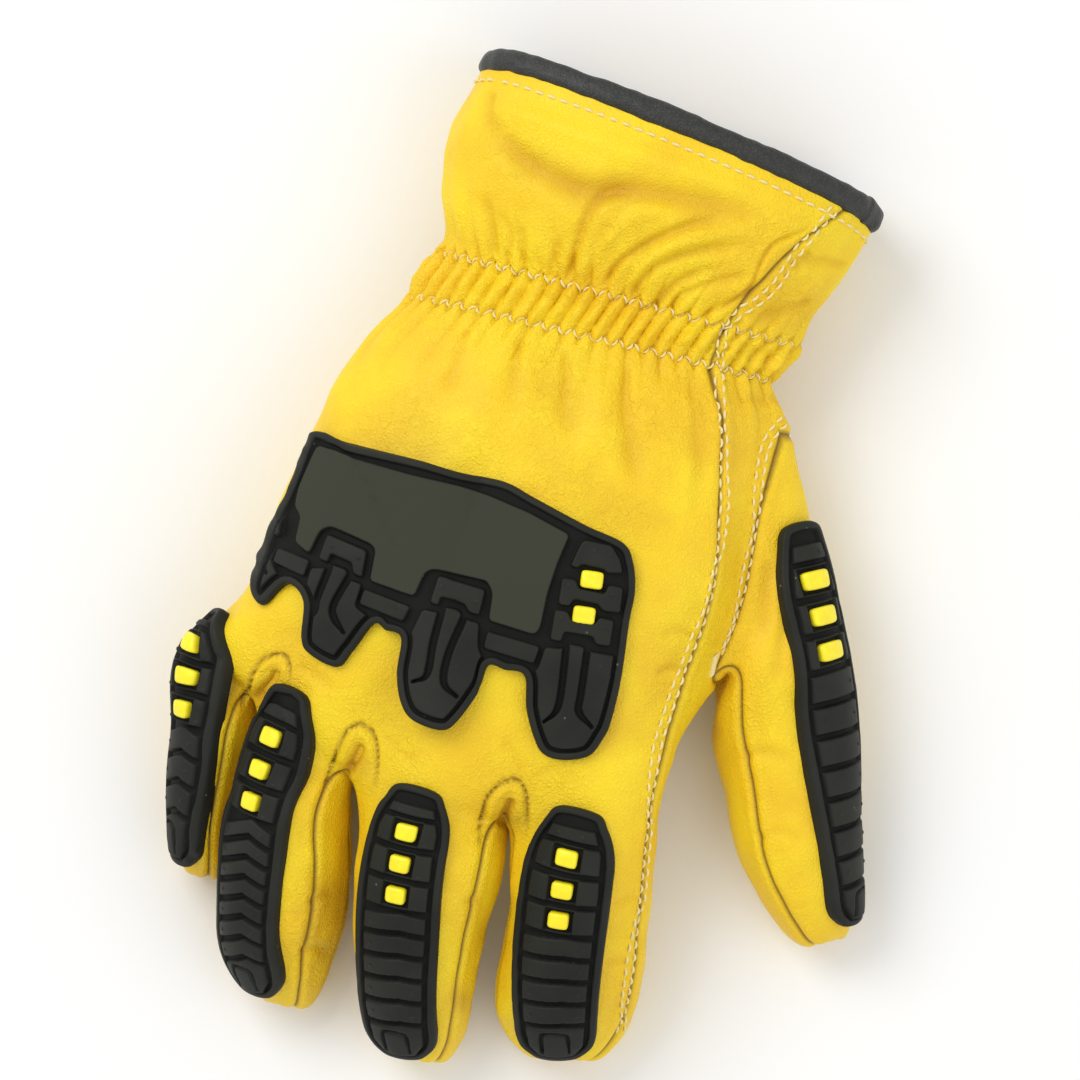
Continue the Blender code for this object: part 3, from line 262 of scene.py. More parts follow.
# Raised tongues of the guard: they reach to its rim, and grooves part each
# tongue's rib from its two sides
TONGUES = (
    ((314, 566), (331, 566), (334, 562), (349, 567), (352, 577), (364, 581), (357, 603), (404, 640),
     (340, 690), (290, 650)),
    ((424, 606), (440, 610), (446, 604), (460, 608), (464, 616), (480, 619), (479, 646), (500, 680),
     (440, 760), (385, 700), (404, 650)),
    ((545, 643), (562, 645), (569, 640), (583, 643), (590, 648), (608, 651), (640, 660), (620, 770),
     (540, 775), (520, 680), (538, 664)),
    ((244, 530), (259, 519), (273, 526), (277, 537), (276, 560), (284, 580), (250, 615), (230, 590)),
)
TONGUE_GROOVES = (
    ((332, 566), (320, 595), (317, 609), (310, 615)), ((352, 573), (336, 601), (336, 614), (346, 630)),
    ((442, 608), (434, 640), (428, 672), (415, 679)), ((464, 612), (448, 652), (444, 680), (456, 694)),
    ((566, 644), (561, 690), (556, 708), (544, 718)), ((587, 645), (581, 690), (579, 708), (592, 724)),
    ((275, 533), (264, 556), (271, 573)),
)
KNUCKLE_STUDS = (
    (336, 545), (361, 556), (443, 584), (477, 599), (270, 504), (282, 520), (595, 549), (611, 553),
    (569, 583), (613, 592), (562, 615), (605, 624),
)

# Lines on the leather: the two rows along the thumb's side, the two of the
# thumb's seam, and the bar where they meet
LONG_SEAM = (
    (836, 207), (820, 225), (805, 241), (790, 262), (775, 285), (755, 303), (735, 315), (724, 332),
    (720, 360), (720, 400), (722, 430), (723, 470), (725, 500), (722, 530), (716, 560), (711, 590),
    (703, 618), (690, 650), (675, 690), (665, 720), (656, 750), (650, 800), (645, 850), (640, 900),
    (632, 950), (625, 1000), (619, 1040),
)
THUMB_SEAM = (
    (785, 420), (775, 430), (765, 445), (760, 470), (757, 500), (755, 530), (748, 560), (742, 590),
    (735, 620), (727, 640), (718, 660),
)
CROTCH_BAR = ((716, 655), (712, 674))

# Folds and creases of the leather: height in millimetres, width in places of
# the picture at the start and the end, and the line that they follow
FOLDS = (
    # cuff, hollow under the hem and the roll above it
    (-1.5, 12, 16, ((493, 122), (525, 160), (578, 188), (628, 190), (687, 198), (745, 213), (800, 232))),
    (0.9, 10, 13, ((498, 106), (554, 126), (613, 148), (672, 168), (731, 189), (785, 212))),
    (-0.9, 5, 9, ((492, 90), (488, 112), (500, 140))),
    # cuff, pleats that fan out of the gathers
    (-0.9, 3, 7, ((496, 258), (490, 222), (481, 190))),
    (-0.8, 3, 6, ((508, 262), (510, 236), (500, 208))),
    (-0.7, 3, 6, ((525, 266), (522, 242), (519, 222))),
    (-0.8, 3, 6, ((549, 281), (557, 250), (561, 234))),
    (-1.3, 3, 9, ((566, 284), (575, 255), (584, 225), (596, 203), (613, 193), (640, 190))),
    (-0.8, 3, 6, ((584, 292), (593, 264), (602, 236), (622, 218))),
    (-1.3, 3, 8, ((601, 290), (619, 264), (643, 247), (672, 233), (703, 223), (735, 220))),
    (-1.1, 3, 8, ((631, 308), (638, 284), (660, 264), (701, 251), (758, 243))),
    (-0.9, 3, 7, ((650, 314), (669, 291), (692, 276), (735, 266))),
    (-0.9, 3, 7, ((669, 316), (681, 297), (716, 282), (757, 276))),
    (-0.8, 3, 6, ((700, 318), (728, 303), (765, 285))),
    (-0.9, 2, 3, ((716, 314), (748, 290), (762, 262), (776, 243), (802, 232), (820, 214))),
    (0.8, 6, 9, ((625, 290), (655, 256), (705, 237), (750, 232))),
    (0.8, 6, 9, ((585, 275), (605, 240), (640, 215), (690, 211))),
    (-0.8, 5, 8, ((812, 252), (800, 262), (790, 275))),
    (-0.9, 5, 9, ((812, 300), (785, 312), (750, 322))),
    (-0.7, 4, 7, ((850, 268), (820, 262), (800, 268))),
    # back, under the gathers
    (-0.9, 4, 12, ((565, 346), (567, 380), (566, 410), (572, 445))),
    (-1.0, 4, 13, ((628, 360), (626, 400), (630, 440), (640, 500))),
    (-0.6, 4, 10, ((520, 335), (515, 370), (508, 410))),
    (-0.6, 4, 10, ((470, 325), (455, 365), (440, 400))),
    (-0.7, 5, 12, ((690, 372), (697, 420), (700, 470), (690, 540))),
    (0.7, 10, 18, ((597, 365), (600, 410), (600, 460))),
    (0.6, 10, 18, ((662, 375), (668, 430), (670, 500))),
    (-0.7, 5, 8, ((790, 395), (762, 400), (735, 392))),
    (-0.8, 5, 10, ((775, 362), (750, 352), (728, 352))),
    # small creases that run out of the crotches and the tongues
    (-0.5, 2.5, 5, ((296, 664), (318, 676), (338, 694))),
    (-0.5, 2.5, 6, ((384, 736), (402, 752), (420, 760))),
    (-0.5, 2.5, 6, ((530, 782), (548, 770), (560, 766))),
    (-0.6, 2.0, 5, ((524, 776), (512, 752), (500, 738))),
    (-0.6, 2.0, 4, ((690, 672), (672, 668), (655, 676))),
    (-0.5, 3, 8, ((700, 640), (680, 632), (660, 640))),
    # fingers and thumb, creases across the joints
    (-0.6, 3, 6, ((612, 905), (628, 900), (644, 906))),
    (-0.5, 3, 6, ((604, 965), (618, 962), (632, 968))),
    (-0.5, 3, 6, ((462, 905), (474, 900), (486, 903))),
    (-0.6, 3, 8, ((305, 905), (325, 895), (340, 900))),
    (-0.6, 3, 7, ((300, 955), (315, 948), (332, 955))),
    (-0.6, 4, 8, ((738, 760), (765, 752), (800, 762))),
    (-0.5, 4, 8, ((755, 840), (780, 832), (808, 842))),
    (-0.7, 5, 9, ((770, 560), (765, 600), (762, 640))),
    (-0.6, 5, 9, ((790, 600), (780, 650), (775, 690))),
)

# Crotch loops, where the strip between two fingers is rolled in at its top:
# the crease round each, the lip within it and the hollow that runs down to
# the strip, as lines in the picture
CROTCHES = (
    (((241, 712), (247, 690), (252, 674), (259, 664), (269, 656), (281, 654), (289, 664), (290, 690)),
     ((253, 690), (257, 677), (263, 668), (272, 663), (280, 663), (284, 671), (284, 688)),
     ((276, 670), (272, 680), (262, 692), (252, 704))),
    (((322, 796), (331, 768), (340, 742), (348, 730), (359, 724), (370, 729), (377, 747), (376, 780),
      (366, 800)),
     ((338, 768), (346, 748), (353, 737), (360, 733), (366, 738), (370, 752), (369, 775)),
     ((361, 744), (358, 754), (351, 766), (344, 778))),
    (((478, 850), (481, 826), (486, 802), (495, 789), (507, 781), (519, 781), (526, 794), (527, 822),
      (524, 845)),
     ((488, 826), (493, 806), (500, 795), (508, 789), (516, 790), (520, 800), (520, 822)),
     ((511, 799), (509, 808), (504, 818), (502, 830))),
)

# Height in millimetres and widths in the picture of their creases, lips and
# hollows
CROTCH_CREASE = (-0.9, 1.5, 1.5)
CROTCH_LIP = (0.6, 3.0, 3.0)
CROTCH_HOLLOW = (-1.9, 3.2, 5.0)

# Places where the fine wrinkles of the leather are strong: middle and reach
WRINKLED = (
    (500, 140, 30), (520, 150, 40), (620, 235, 60), (700, 240, 50), (770, 240, 40), (780, 300, 40),
    (400, 420, 40), (480, 452, 40), (560, 485, 45), (620, 520, 40), (270, 660, 30), (300, 670, 30),
    (362, 725, 36), (400, 748, 40), (520, 790, 40), (560, 775, 30), (325, 900, 34), (320, 960, 30),
    (700, 660, 40), (745, 700, 40), (720, 380, 40), (550, 400, 50), (640, 430, 45), (680, 700, 40),
)
# Places where brown shade is painted on the leather, on the fingers and in the crotches: middle and reach
BROWN_SHADE_SPOTS = ((330, 905, 22), (337, 960, 26), (325, 990, 18), (360, 765, 13), (512, 818, 13), (283, 690, 10),
          (462, 1000, 14), (205, 875, 12), (318, 935, 16))

# How much stronger than in the table the folds are made
FOLD_STRENGTH = 1.25

# Creases of the sewn seams: depth, width, and the swell beside them
SEAM_DEPTH = 0.00055
SEAM_WIDTH = 0.0007
SWELL_HEIGHT = 0.00030
SWELL_AT = 0.0022
SWELL_WIDTH = 0.0013

# Gathers of the wrist: spacing of the puffs, how far the rows of stitches
# zigzag, and how deep the thread pulls the leather in
PUFF_SPACING = 0.0041
ZIGZAG = 0.0013
PINCH = 0.0008
# Fine leather: steps of subdivision of the hand and of the rest
HAND_FINENESS = 5
REST_FINENESS = 4
LAYING_FINENESS = 3
LINING_FINENESS = 3
# Labels of the fingers' and thumb's faces, past those of the hand's bands
FINGER_BAND = 12
# How a finger guard's bars bend, as the slope of their arms
BAR_BENDS = {"little": 0.45, "ring": 0.45, "middle": 0.16, "index": 0.12, "thumb": 0.0}
# How far a guard lies over the leather, and how far its wall goes into it
VISIBLE_LIFT = 0.0004
GUARD_FOOT = -0.0010
FLOOR_LEVEL = -0.00005
# Where one end of the binding laps over the other, in the picture
OVERLAP_AT = (842, 200)


def dome(share, top_at):
    """Height of a rounded section across it: 0 at both edges, 1 at top_at."""
    side = np.where(share < top_at, top_at, 1 - top_at)
    reach = np.clip(abs(share - top_at) / side, 0, 1)
    return (1 - reach ** 2.3) ** (1 / 2.3)


def turned(degrees):
    """Unit vectors ahead and to the right, for a heading from straight ahead."""
    angle = math.radians(degrees)
    ahead = np.array([math.sin(angle), -math.cos(angle)])
    right = np.array([math.cos(angle), math.sin(angle)])
    return ahead, right


def hand_rings():
    """Points of the rings round the hand: 10 over the back, 1 at the thumb's
    side, 8 under the palm and 1 at the little finger's side."""
    rings = []
    last = len(HAND_RINGS) - 1
    for number, row in enumerate(HAND_RINGS):
        _, which, aside, along, turn, width, bow, low, middle, crown, top_at, seam, thumb = row
        blend = np.clip((number - 2) / (last - 2), 0, 1)
        mix = lambda a, b: (1 - blend) * np.array(a) + blend * np.array(b)
        over = np.r_[mix(BACK_COLUMNS_CUFF, BACK_COLUMNS_KNUCKLE) * seam, seam, thumb]
        under = mix(PALM_COLUMNS_CUFF, PALM_COLUMNS_KNUCKLE)[::-1]
        across = np.r_[over, 1.0, under, 0.0]
        height = np.full(len(across), middle)
        height[:10] += (crown - middle) * dome(over, top_at)
        height[11:19] -= (middle - low) * dome(under, 0.5) ** 0.7
        ahead, right = turned(turn)
        centre = np.array([aside * GLOVE_BREADTH, along * GLOVE_LENGTH])
        plan = centre + np.outer(across - 0.5, right) * width * WIDTHS[which]
        plan -= np.outer(dome(across, 0.5), ahead) * bow * WIDTHS[which]
        rings.append(np.column_stack([plan, height * HAND_HEIGHT]))
    return np.array(rings)


def section(base, heading, length, width, row, angles):
    """Points of one upright section of a finger at the given angles."""
    along, aside, breadth, turn, low, top = row
    ahead, right = turned(heading)
    centre = base + ahead * along * length + right * aside * width
    across = turned(heading + turn)[1]
    angles = np.radians(angles)
    plan = centre + np.outer(np.cos(angles), across) * breadth * width / 2
    height = (top + low) / 2 + (top - low) / 2 * np.sin(angles)
    return np.column_stack([plan, height * HAND_HEIGHT])


class Skin:
    """Points and faces of the leather's control mesh."""

    def __init__(self):
        self.points = []
        self.faces = []
        self.panels = []
        self.bands = []
        self.loose = []

    def add(self, points):
        """Keep points, and give their numbers."""
        first = len(self.points)
        self.points.extend(np.atleast_2d(points))
        return list(range(first, len(self.points)))

    def face(self, corners, panel, band=0):
        """Keep a face, of a panel, in a band round the hand."""
        self.faces.append(tuple(corners))
        self.panels.append(panel)
        self.bands.append(band)

    def band(self, ring, following, panels, band=0):
        """Join two rings of equal length, leaving out panels named None."""
        for k, panel in enumerate(panels):
            n = (k + 1) % len(ring)
            if panel is not None:
                self.face((ring[k], following[k], following[n], ring[n]), panel, band)


def add_hand(skin):
    """The tube of the hand, with the thumb's hole left out of it."""
    rings = [skin.add(ring) for ring in hand_rings()]
    names = [row[0] for row in HAND_RINGS]
    hole = names.index(THUMB_FIRST_RING)
    for number in range(len(rings) - 1):
        panels = [BACK] * 8 + [PALM] * 10 + [BACK] * 2
        if number >= hole:
            panels[9] = panels[10] = None
        skin.band(rings[number], rings[number + 1], panels, number)
    return rings, hole


def finger_ring(skin, name, base, row, shared):
    """One section of a finger. shared holds the web points that its first
    section takes from its neighbours: the pair on its left and its right."""
    finger = FINGERS[name]
    sides = []
    for key in ("back", "right", "palm", "left"):
        angles = finger[key]
        if shared:
            angles = finger.get("first_" + key, angles)
        points = section(base, finger["heading"], finger["length"], finger["width"], row, angles)
        taken = shared.get(key)
        sides.extend(taken if taken else skin.add(points))
    return sides


def add_fingers(skin, knuckles):
    """Four fingers, joined to the last hand ring through the webs."""
    points = np.array(skin.points)
    left_edge, right_edge = points[knuckles[19]][:2], points[knuckles[10]][:2]
    bases = {n: left_edge + FINGERS[n]["start"] * (right_edge - left_edge) for n in FINGER_NAMES}
    webs = []
    for k, web in enumerate(WEBS):
        near, far = FINGER_NAMES[k], FINGER_NAMES[k + 1]
        ends = []
        for name, angle in ((near, 0), (far, 180)):
            finger = FINGERS[name]
            ends.append(section(bases[name], finger["heading"], finger["length"], finger["width"],
                                SECTIONS[name][0], (angle,))[0][:2])
        plan = (ends[0] + ends[1]) / 2 + turned(-7)[0] * web["ahead"] * RING_WIDTH
        webs.append(skin.add([(*plan, web["upper"] * HAND_HEIGHT), (*plan, web["lower"] * HAND_HEIGHT)]))

    skin.loose = [number for web in webs for number in web]
    first = {}
    for k, name in enumerate(FINGER_NAMES):
        shared = {}
        if k < 3:
            shared["right"] = webs[k]
        if k > 0:
            shared["left"] = webs[k - 1][::-1]
        first[name] = finger_ring(skin, name, bases[name], SECTIONS[name][0], shared)

    # The last band of the hand runs into the first sections of the fingers
    back_columns = {"little": (0, 1), "ring": (2, 3), "middle": (4, 5), "index": (6, 7, 8)}
    palm_columns = {"little": (17, 18), "ring": (15, 16), "middle": (13, 14), "index": (11, 12)}
    band = len(HAND_RINGS) - 1
    for k, name in enumerate(FINGER_NAMES):
        ring = first[name]
        finger = FINGERS[name]
        count = len(finger["back"])
        backs = [knuckles[c] for c in back_columns[name]]
        for n in range(count - 1):
            skin.face((backs[n], ring[n], ring[n + 1], backs[n + 1]), BACK, band)
        palms = [knuckles[c] for c in palm_columns[name]]
        start = count + len(finger["right"])
        skin.face((palms[0], ring[start], ring[start + 1], palms[1]), PALM, band)
        if k < 3:
            following = first[FINGER_NAMES[k + 1]]
            ahead = knuckles[back_columns[FINGER_NAMES[k + 1]][0]]
            skin.face((backs[-1], ring[count - 1], following[0], ahead), BACK, band)
            skin.face((ring[count - 1], webs[k][0], following[0]), BACK, band)
            next_start = len(FINGERS[FINGER_NAMES[k + 1]]["back"]) + 2
            behind = knuckles[palm_columns[FINGER_NAMES[k + 1]][1]]
            skin.face((behind, following[next_start + 1], ring[start], palms[0]), PALM, band)
            skin.face((following[next_start + 1], webs[k][1], ring[start]), PALM, band)
    index, little = first["index"], first["little"]
    skin.face((knuckles[8], index[2], index[3], knuckles[9]), PALM, band)
    skin.face((knuckles[9], index[3], index[4], knuckles[10]), PALM, band)
    skin.face((knuckles[10], index[4], index[5], knuckles[11]), PALM, band)
    skin.face((knuckles[18], little[5], little[6], knuckles[19]), BACK, band)
    skin.face((knuckles[19], little[6], little[0], knuckles[0]), BACK, band)

    panels = {
        "little": [BACK, BACK, FOURCHETTES[0], PALM, PALM, BACK, BACK],
        "ring": [BACK, BACK, FOURCHETTES[1], PALM, PALM, PALM, FOURCHETTES[0], BACK],
        "middle": [BACK, BACK, FOURCHETTES[2], PALM, PALM, PALM, FOURCHETTES[1], BACK],
        "index": [BACK, BACK, PALM, PALM, PALM, PALM, PALM, FOURCHETTES[2], BACK],
    }
    for name in FINGER_NAMES:
        ring = first[name]
        for row in SECTIONS[name][1:]:
            following = finger_ring(skin, name, bases[name], row, {})
            skin.band(ring, following, panels[name], FINGER_BAND)
            ring = following
        close_tip(skin, ring, panels[name])
    return bases


def close_tip(skin, ring, panels):
    """Close the last ring of a finger: one face for the back panel, one for
    the palm, and a strip for each side panel between them."""
    count = len(ring)
    middle = skin.add(np.mean(np.array([skin.points[k] for k in ring]), axis=0))[0]
    for k in range(count):
        skin.face((middle, ring[(k + 1) % count], ring[k]), panels[k], FINGER_BAND)


def add_thumb(skin, rings, hole):
    """The thumb, from the loop of points round its hole."""
    rows = rings[hole:]
    loop = [rows[0][10]] + [row[11] for row in rows] + [rows[-1][10]] + [row[9] for row in rows[::-1]]
    points = np.array(skin.points)
    base = points[rings[hole + 1][10]][:2]
    panels = [THUMB_BACK] + [THUMB_PALM] * 5 + [THUMB_BACK] * 4
    ring = loop
    for row in THUMB_SECTIONS:
        following = skin.add(section(base, THUMB_HEADING, THUMB_LENGTH, THUMB_WIDTH, row, THUMB_ANGLES))
        skin.band(ring, following, panels, FINGER_BAND)
        ring = following
    close_tip(skin, ring, panels)
    return base


def mesh_object(name, points, faces):
    """A new object from points and faces."""
    mesh = bpy.data.meshes.new(name)
    mesh.from_pydata([tuple(p) for p in points], [], [tuple(f) for f in faces])
    obj = bpy.data.objects.new(name, mesh)
    bpy.context.scene.collection.objects.link(obj)
    return obj


def subdivided(obj, level):
    """The object's mesh on the smooth surface of its control mesh: points,
    faces of four corners, and the faces' labels."""
    modifier = obj.modifiers.new("smooth", "SUBSURF")
    modifier.levels = modifier.render_levels = level
    modifier.use_limit_surface = True
    modifier.boundary_smooth = "ALL"
    bpy.context.view_layer.update()
    mesh = bpy.data.meshes.new_from_object(obj.evaluated_get(bpy.context.evaluated_depsgraph_get()))
    obj.modifiers.remove(modifier)
    points = np.empty(len(mesh.vertices) * 3)
    mesh.vertices.foreach_get("co", points)
    corners = np.empty(len(mesh.loops), dtype=np.int32)
    mesh.loops.foreach_get("vertex_index", corners)
    kinds = np.empty(len(mesh.polygons), dtype=np.int32)
    mesh.polygons.foreach_get("material_index", kinds)
    bpy.data.meshes.remove(mesh)
    return points.reshape(-1, 3), corners.reshape(-1, 4), kinds


def fitted_control(skin):
    """A control mesh whose smooth surface passes through the skin's points,
    except for the loose ones between the fingers."""
    target = np.array(skin.points)
    obj = mesh_object("skin_guide", target, skin.faces)
    kinds = np.array(skin.panels) + 16 * np.array(skin.bands)
    obj.data.polygons.foreach_set("material_index", kinds.astype(np.int32))
    control = target.copy()
    held = np.ones((len(target), 1))
    held[skin.loose] = 0
    for _ in range(5):
        surface = subdivided(obj, 1)[0][:len(target)]
        control += (target - surface) * held
        obj.data.vertices.foreach_set("co", control.ravel())
        obj.data.update()
    return obj


def settled(points):
    """The leather flattened where it rests: heights near and under the
    surface are eased onto it, the rest stay."""
    out = points.copy()
    height = points[..., 2]
    soft = FLOOR_SOFTNESS
    eased = (height + soft) ** 2 / (4 * soft)
    out[..., 2] = np.where(height > soft, height, np.where(height < -soft, 0.0, eased))
    return out


def unit(vectors):
    """The vectors at length 1."""
    return vectors / np.maximum(np.linalg.norm(vectors, axis=-1, keepdims=True), 1e-12)


def point_normals(points, quads):
    """Normals of the points: the sum of the cross products of the diagonals
    of the faces round each."""
    a, b, c, d = (points[quads[:, k]] for k in range(4))
    spin = np.repeat(np.cross(c - a, d - b), 4, axis=0)
    corners = quads.ravel()
    total = [np.bincount(corners, weights=spin[:, k], minlength=len(points)) for k in range(3)]
    return unit(np.column_stack(total))


def edge_keys(quads):
    """The edges of the faces, as each face runs along them, and a number for
    each that is the same from both of its sides."""
    ends = np.stack([quads, np.roll(quads, -1, axis=1)], axis=2).reshape(-1, 2)
    ordered = np.sort(ends, axis=1).astype(np.int64)
    return ends, ordered[:, 0] * (quads.max() + 1) + ordered[:, 1]


def border_of(quads):
    """Edges that only one face has, in the direction that it uses them."""
    ends, keys = edge_keys(quads)
    _, back, times = np.unique(keys, return_inverse=True, return_counts=True)
    return ends[times[back] == 1]


def seam_points(quads, panels):
    """Numbers of the points on the seams between panels, and on the edge of
    the cuff."""
    ends, keys = edge_keys(quads)
    order = np.argsort(keys, kind="stable")
    ends, keys, owner = ends[order], keys[order], order // 4
    shared = (keys[1:] == keys[:-1]) & (panels[owner[1:]] != panels[owner[:-1]])
    return np.unique(ends[:-1][shared]), np.unique(border_of(quads))


def nearness(points, normals, others, other_normals, turn_cost=0.004, batch=4000):
    """Distance of each point to the nearest of the others. A difference of
    normals counts as a distance too, so that the far side of a thin place,
    or the next finger, is not near."""
    a = np.hstack([points, normals * turn_cost]).astype(np.float32)
    b = np.hstack([others, other_normals * turn_cost]).astype(np.float32)

    def least(some, ends):
        """Least distances of some of the points to some of the others."""
        squares = (ends * ends).sum(axis=1)
        out = np.empty(len(some), dtype=np.float32)
        for first in range(0, len(some), batch):
            part = some[first:first + batch]
            square = (part * part).sum(axis=1)[:, None] + squares - 2 * part @ ends.T
            out[first:first + batch] = square.min(axis=1)
        return np.sqrt(np.maximum(out, 0))

    far = least(a, b[::12])
    close = far < 0.013
    far[close] = least(a[close], b)
    return far


def waves(points, length, seed, count=20):
    """Smooth unevenness about 0: a sum of plane waves in seeded directions,
    with lengths about the one given."""
    chance = np.random.default_rng(seed)
    heading = unit(chance.normal(size=(count, 3)))
    pitch = length * chance.uniform(0.7, 1.5, count)
    start = chance.uniform(0, 2 * math.pi, count)
    phase = points @ (heading / pitch[:, None]).T * 2 * math.pi + start
    return np.cos(phase).sum(axis=1) / math.sqrt(count)


def in_picture(points):
    """Places of points in the camera's picture."""
    scale = PICTURE_WIDTH / PICTURE * (1 - points[:, 2] / CAMERA_PLACE[2])
    u = PICTURE / 2 + (points[:, 0] - CAMERA_PLACE[0]) / scale
    v = PICTURE / 2 - (points[:, 1] - CAMERA_PLACE[1]) / scale
    return np.column_stack([u, v])


def smooth_line(places, step=1.0, closed=False):
    """A line through places, rounded, with points about a step apart: each
    stretch is the cubic of its two ends and their neighbours."""
    places = np.array(places, dtype=float)
    if closed:
        padded = np.vstack([places[-1:], places, places[:2]])
    else:
        padded = np.vstack([2 * places[0] - places[1], places, 2 * places[-1] - places[-2]])
    p0, p1, p2, p3 = padded[:-3], padded[1:-2], padded[2:-1], padded[3:]
    count = max(2, int(np.linalg.norm(p2 - p1, axis=1).max() / step) + 1)
    t = np.linspace(0, 1, count, endpoint=False)[None, :, None]
    p0, p1, p2, p3 = (p[:, None, :] for p in (p0, p1, p2, p3))
    curve = p1 + 0.5 * t * (p2 - p0 + t * (2 * p0 - 5 * p1 + 4 * p2 - p3 + t * (3 * (p1 - p2) + p3 - p0)))
    curve = curve.reshape(-1, places.shape[1])
    return curve if closed else np.vstack([curve, places[-1:]])


def even_steps(line, step):
    """The same line with its points evenly spaced, about a step apart."""
    runs = np.r_[0, np.cumsum(np.linalg.norm(np.diff(line, axis=0), axis=1))]
    marks = np.linspace(0, runs[-1], max(2, round(runs[-1] / step) + 1))
    return np.column_stack([np.interp(marks, runs, line[:, k]) for k in range(line.shape[1])])


def line_reach(places, line):
    """For each place its distance to a line, and the share of the line's
    length at the nearest spot."""
    a, b = line[:-1], line[1:]
    run = b - a
    best = np.full(len(places), np.inf)
    share = np.zeros(len(places))
    for k in range(len(a)):
        along = ((places - a[k]) @ run[k]) / max(run[k] @ run[k], 1e-12)
        along = np.clip(along, 0, 1)
        far = np.linalg.norm(places - a[k] - along[:, None] * run[k], axis=1)
        closer = far < best
        best = np.where(closer, far, best)
        share = np.where(closer, (k + along) / len(a), share)
    return best, share


def step_up(value, low, high):
    """0 under low, 1 over high, and eased between them."""
    t = np.clip((value - low) / (high - low), 0, 1)
    return t * t * (3 - 2 * t)


class Gathers:
    """The two rows of stitches round the wrist, and the puffs between them.
    A place round the wrist is an angle on an ellipse, counted in puffs."""

    def __init__(self, shift):
        names = [row[0] for row in HAND_RINGS]
        self.rows = []
        for name in ("gather_top", "gather_low"):
            row = HAND_RINGS[names.index(name)]
            _, which, aside, along, turn, width, _, low, _, crown = row[:10]
            ahead, right = turned(turn)
            centre = np.array([aside * GLOVE_BREADTH, along * GLOVE_LENGTH]) + shift[:2]
            level, rise = (crown + low) / 2 * HAND_HEIGHT, (crown - low) / 2 * HAND_HEIGHT
            self.rows.append(dict(ahead=ahead, right=right, centre=centre, half=width * WIDTHS[which] / 2,
                                  level=level, rise=rise))
        angles = np.linspace(-math.pi, math.pi, 721)
        half = np.mean([row["half"] for row in self.rows])
        rise = np.mean([row["rise"] for row in self.rows])
        speed = np.hypot(half * np.sin(angles), rise * np.cos(angles))
        lengths = np.r_[0, np.cumsum((speed[1:] + speed[:-1]) / 2 * np.diff(angles))]
        self.count = round(lengths[-1] / PUFF_SPACING)
        self.angles = angles
        self.puffs = lengths / lengths[-1] * self.count

    def places(self, points):
        """How far ahead of each row a point lies, and its place in puffs."""
        ahead = []
        for row in self.rows:
            ahead.append((points[:, :2] - row["centre"]) @ row["ahead"])
        share = np.clip(ahead[0] / np.where(abs(ahead[0] - ahead[1]) < 1e-6, 1e-6, ahead[0] - ahead[1]), 0, 1)
        top, low = self.rows
        across = (1 - share) * ((points[:, :2] - top["centre"]) @ top["right"]) / top["half"]
        across += share * ((points[:, :2] - low["centre"]) @ low["right"]) / low["half"]
        level = (1 - share) * (points[:, 2] - top["level"]) / top["rise"]
        level += share * (points[:, 2] - low["level"]) / low["rise"]
        angle = np.arctan2(level, across)
        return ahead[0], ahead[1], np.interp(angle, self.angles, self.puffs)

    @staticmethod
    def zigzag(puffs):
        """From -1 at the valleys between puffs to 1 at their middles."""
        return 1 - 4 * abs(puffs % 1 - 0.5)

    def relief(self, points):
        """Height of the puffs and pleats: between the rows a rounded pillow
        for each puff, beyond them ridges half a puff aside that fade, and the
        leather drawn in along the rows."""
        past_top, past_low, puffs = self.places(points)
        zig = self.zigzag(puffs) * ZIGZAG
        past_top = past_top + zig
        past_low = past_low - zig
        between = step_up(past_top, -0.0004, 0.0004) * step_up(-past_low, -0.0004, 0.0004)
        middle = np.sqrt(np.clip(np.minimum(past_top, -past_low), 0, 0.005) / 0.005)
        pillow = abs(np.sin(math.pi * puffs)) ** 0.7
        uneven = 1 + 0.35 * waves(points, 0.007, 3)
        height = between * (PUFF_HEIGHT * 1.7 * pillow * middle * uneven - 0.0004 * (1 - pillow))
        ridge = abs(np.cos(math.pi * puffs)) ** 0.8 - 0.45
        wide = np.cos(2 * math.pi * puffs / 2 + 1.2 * waves(points, 0.03, 5))
        above = np.clip(-past_top, 0, None)
        below = np.clip(past_low, 0, None)
        for beyond, seed in ((above, 11), (below, 13)):
            outside = step_up(beyond, 0.0, 0.0012)
            strength = 1 + 0.5 * waves(points, 0.012, seed)
            height += outside * np.exp(-beyond / 0.0065) * 0.0013 * ridge * strength
            height += outside * np.exp(-beyond / 0.014) * 0.0005 * wide * strength
        for past in (past_top, past_low):
            height -= PINCH * np.exp(-(past / 0.0007) ** 2)
        return height * step_up(points[:, 2], 0.0005, 0.005)

    def thread(self, row, puffs):
        """Where rays leave from inside the wrist to meet a row's thread, and
        their directions."""
        angle = np.interp(puffs, self.puffs, self.angles)
        ring = self.rows[row]
        sign = (-1, 1)[row]
        plan = ring["centre"] + np.outer(sign * self.zigzag(puffs) * ZIGZAG, ring["ahead"])
        start = np.column_stack([plan, np.full(len(puffs), ring["level"])])
        way = np.outer(np.cos(angle) * ring["half"], [*ring["right"], 0])
        way[:, 2] += np.sin(angle) * ring["rise"]
        return start, unit(way)


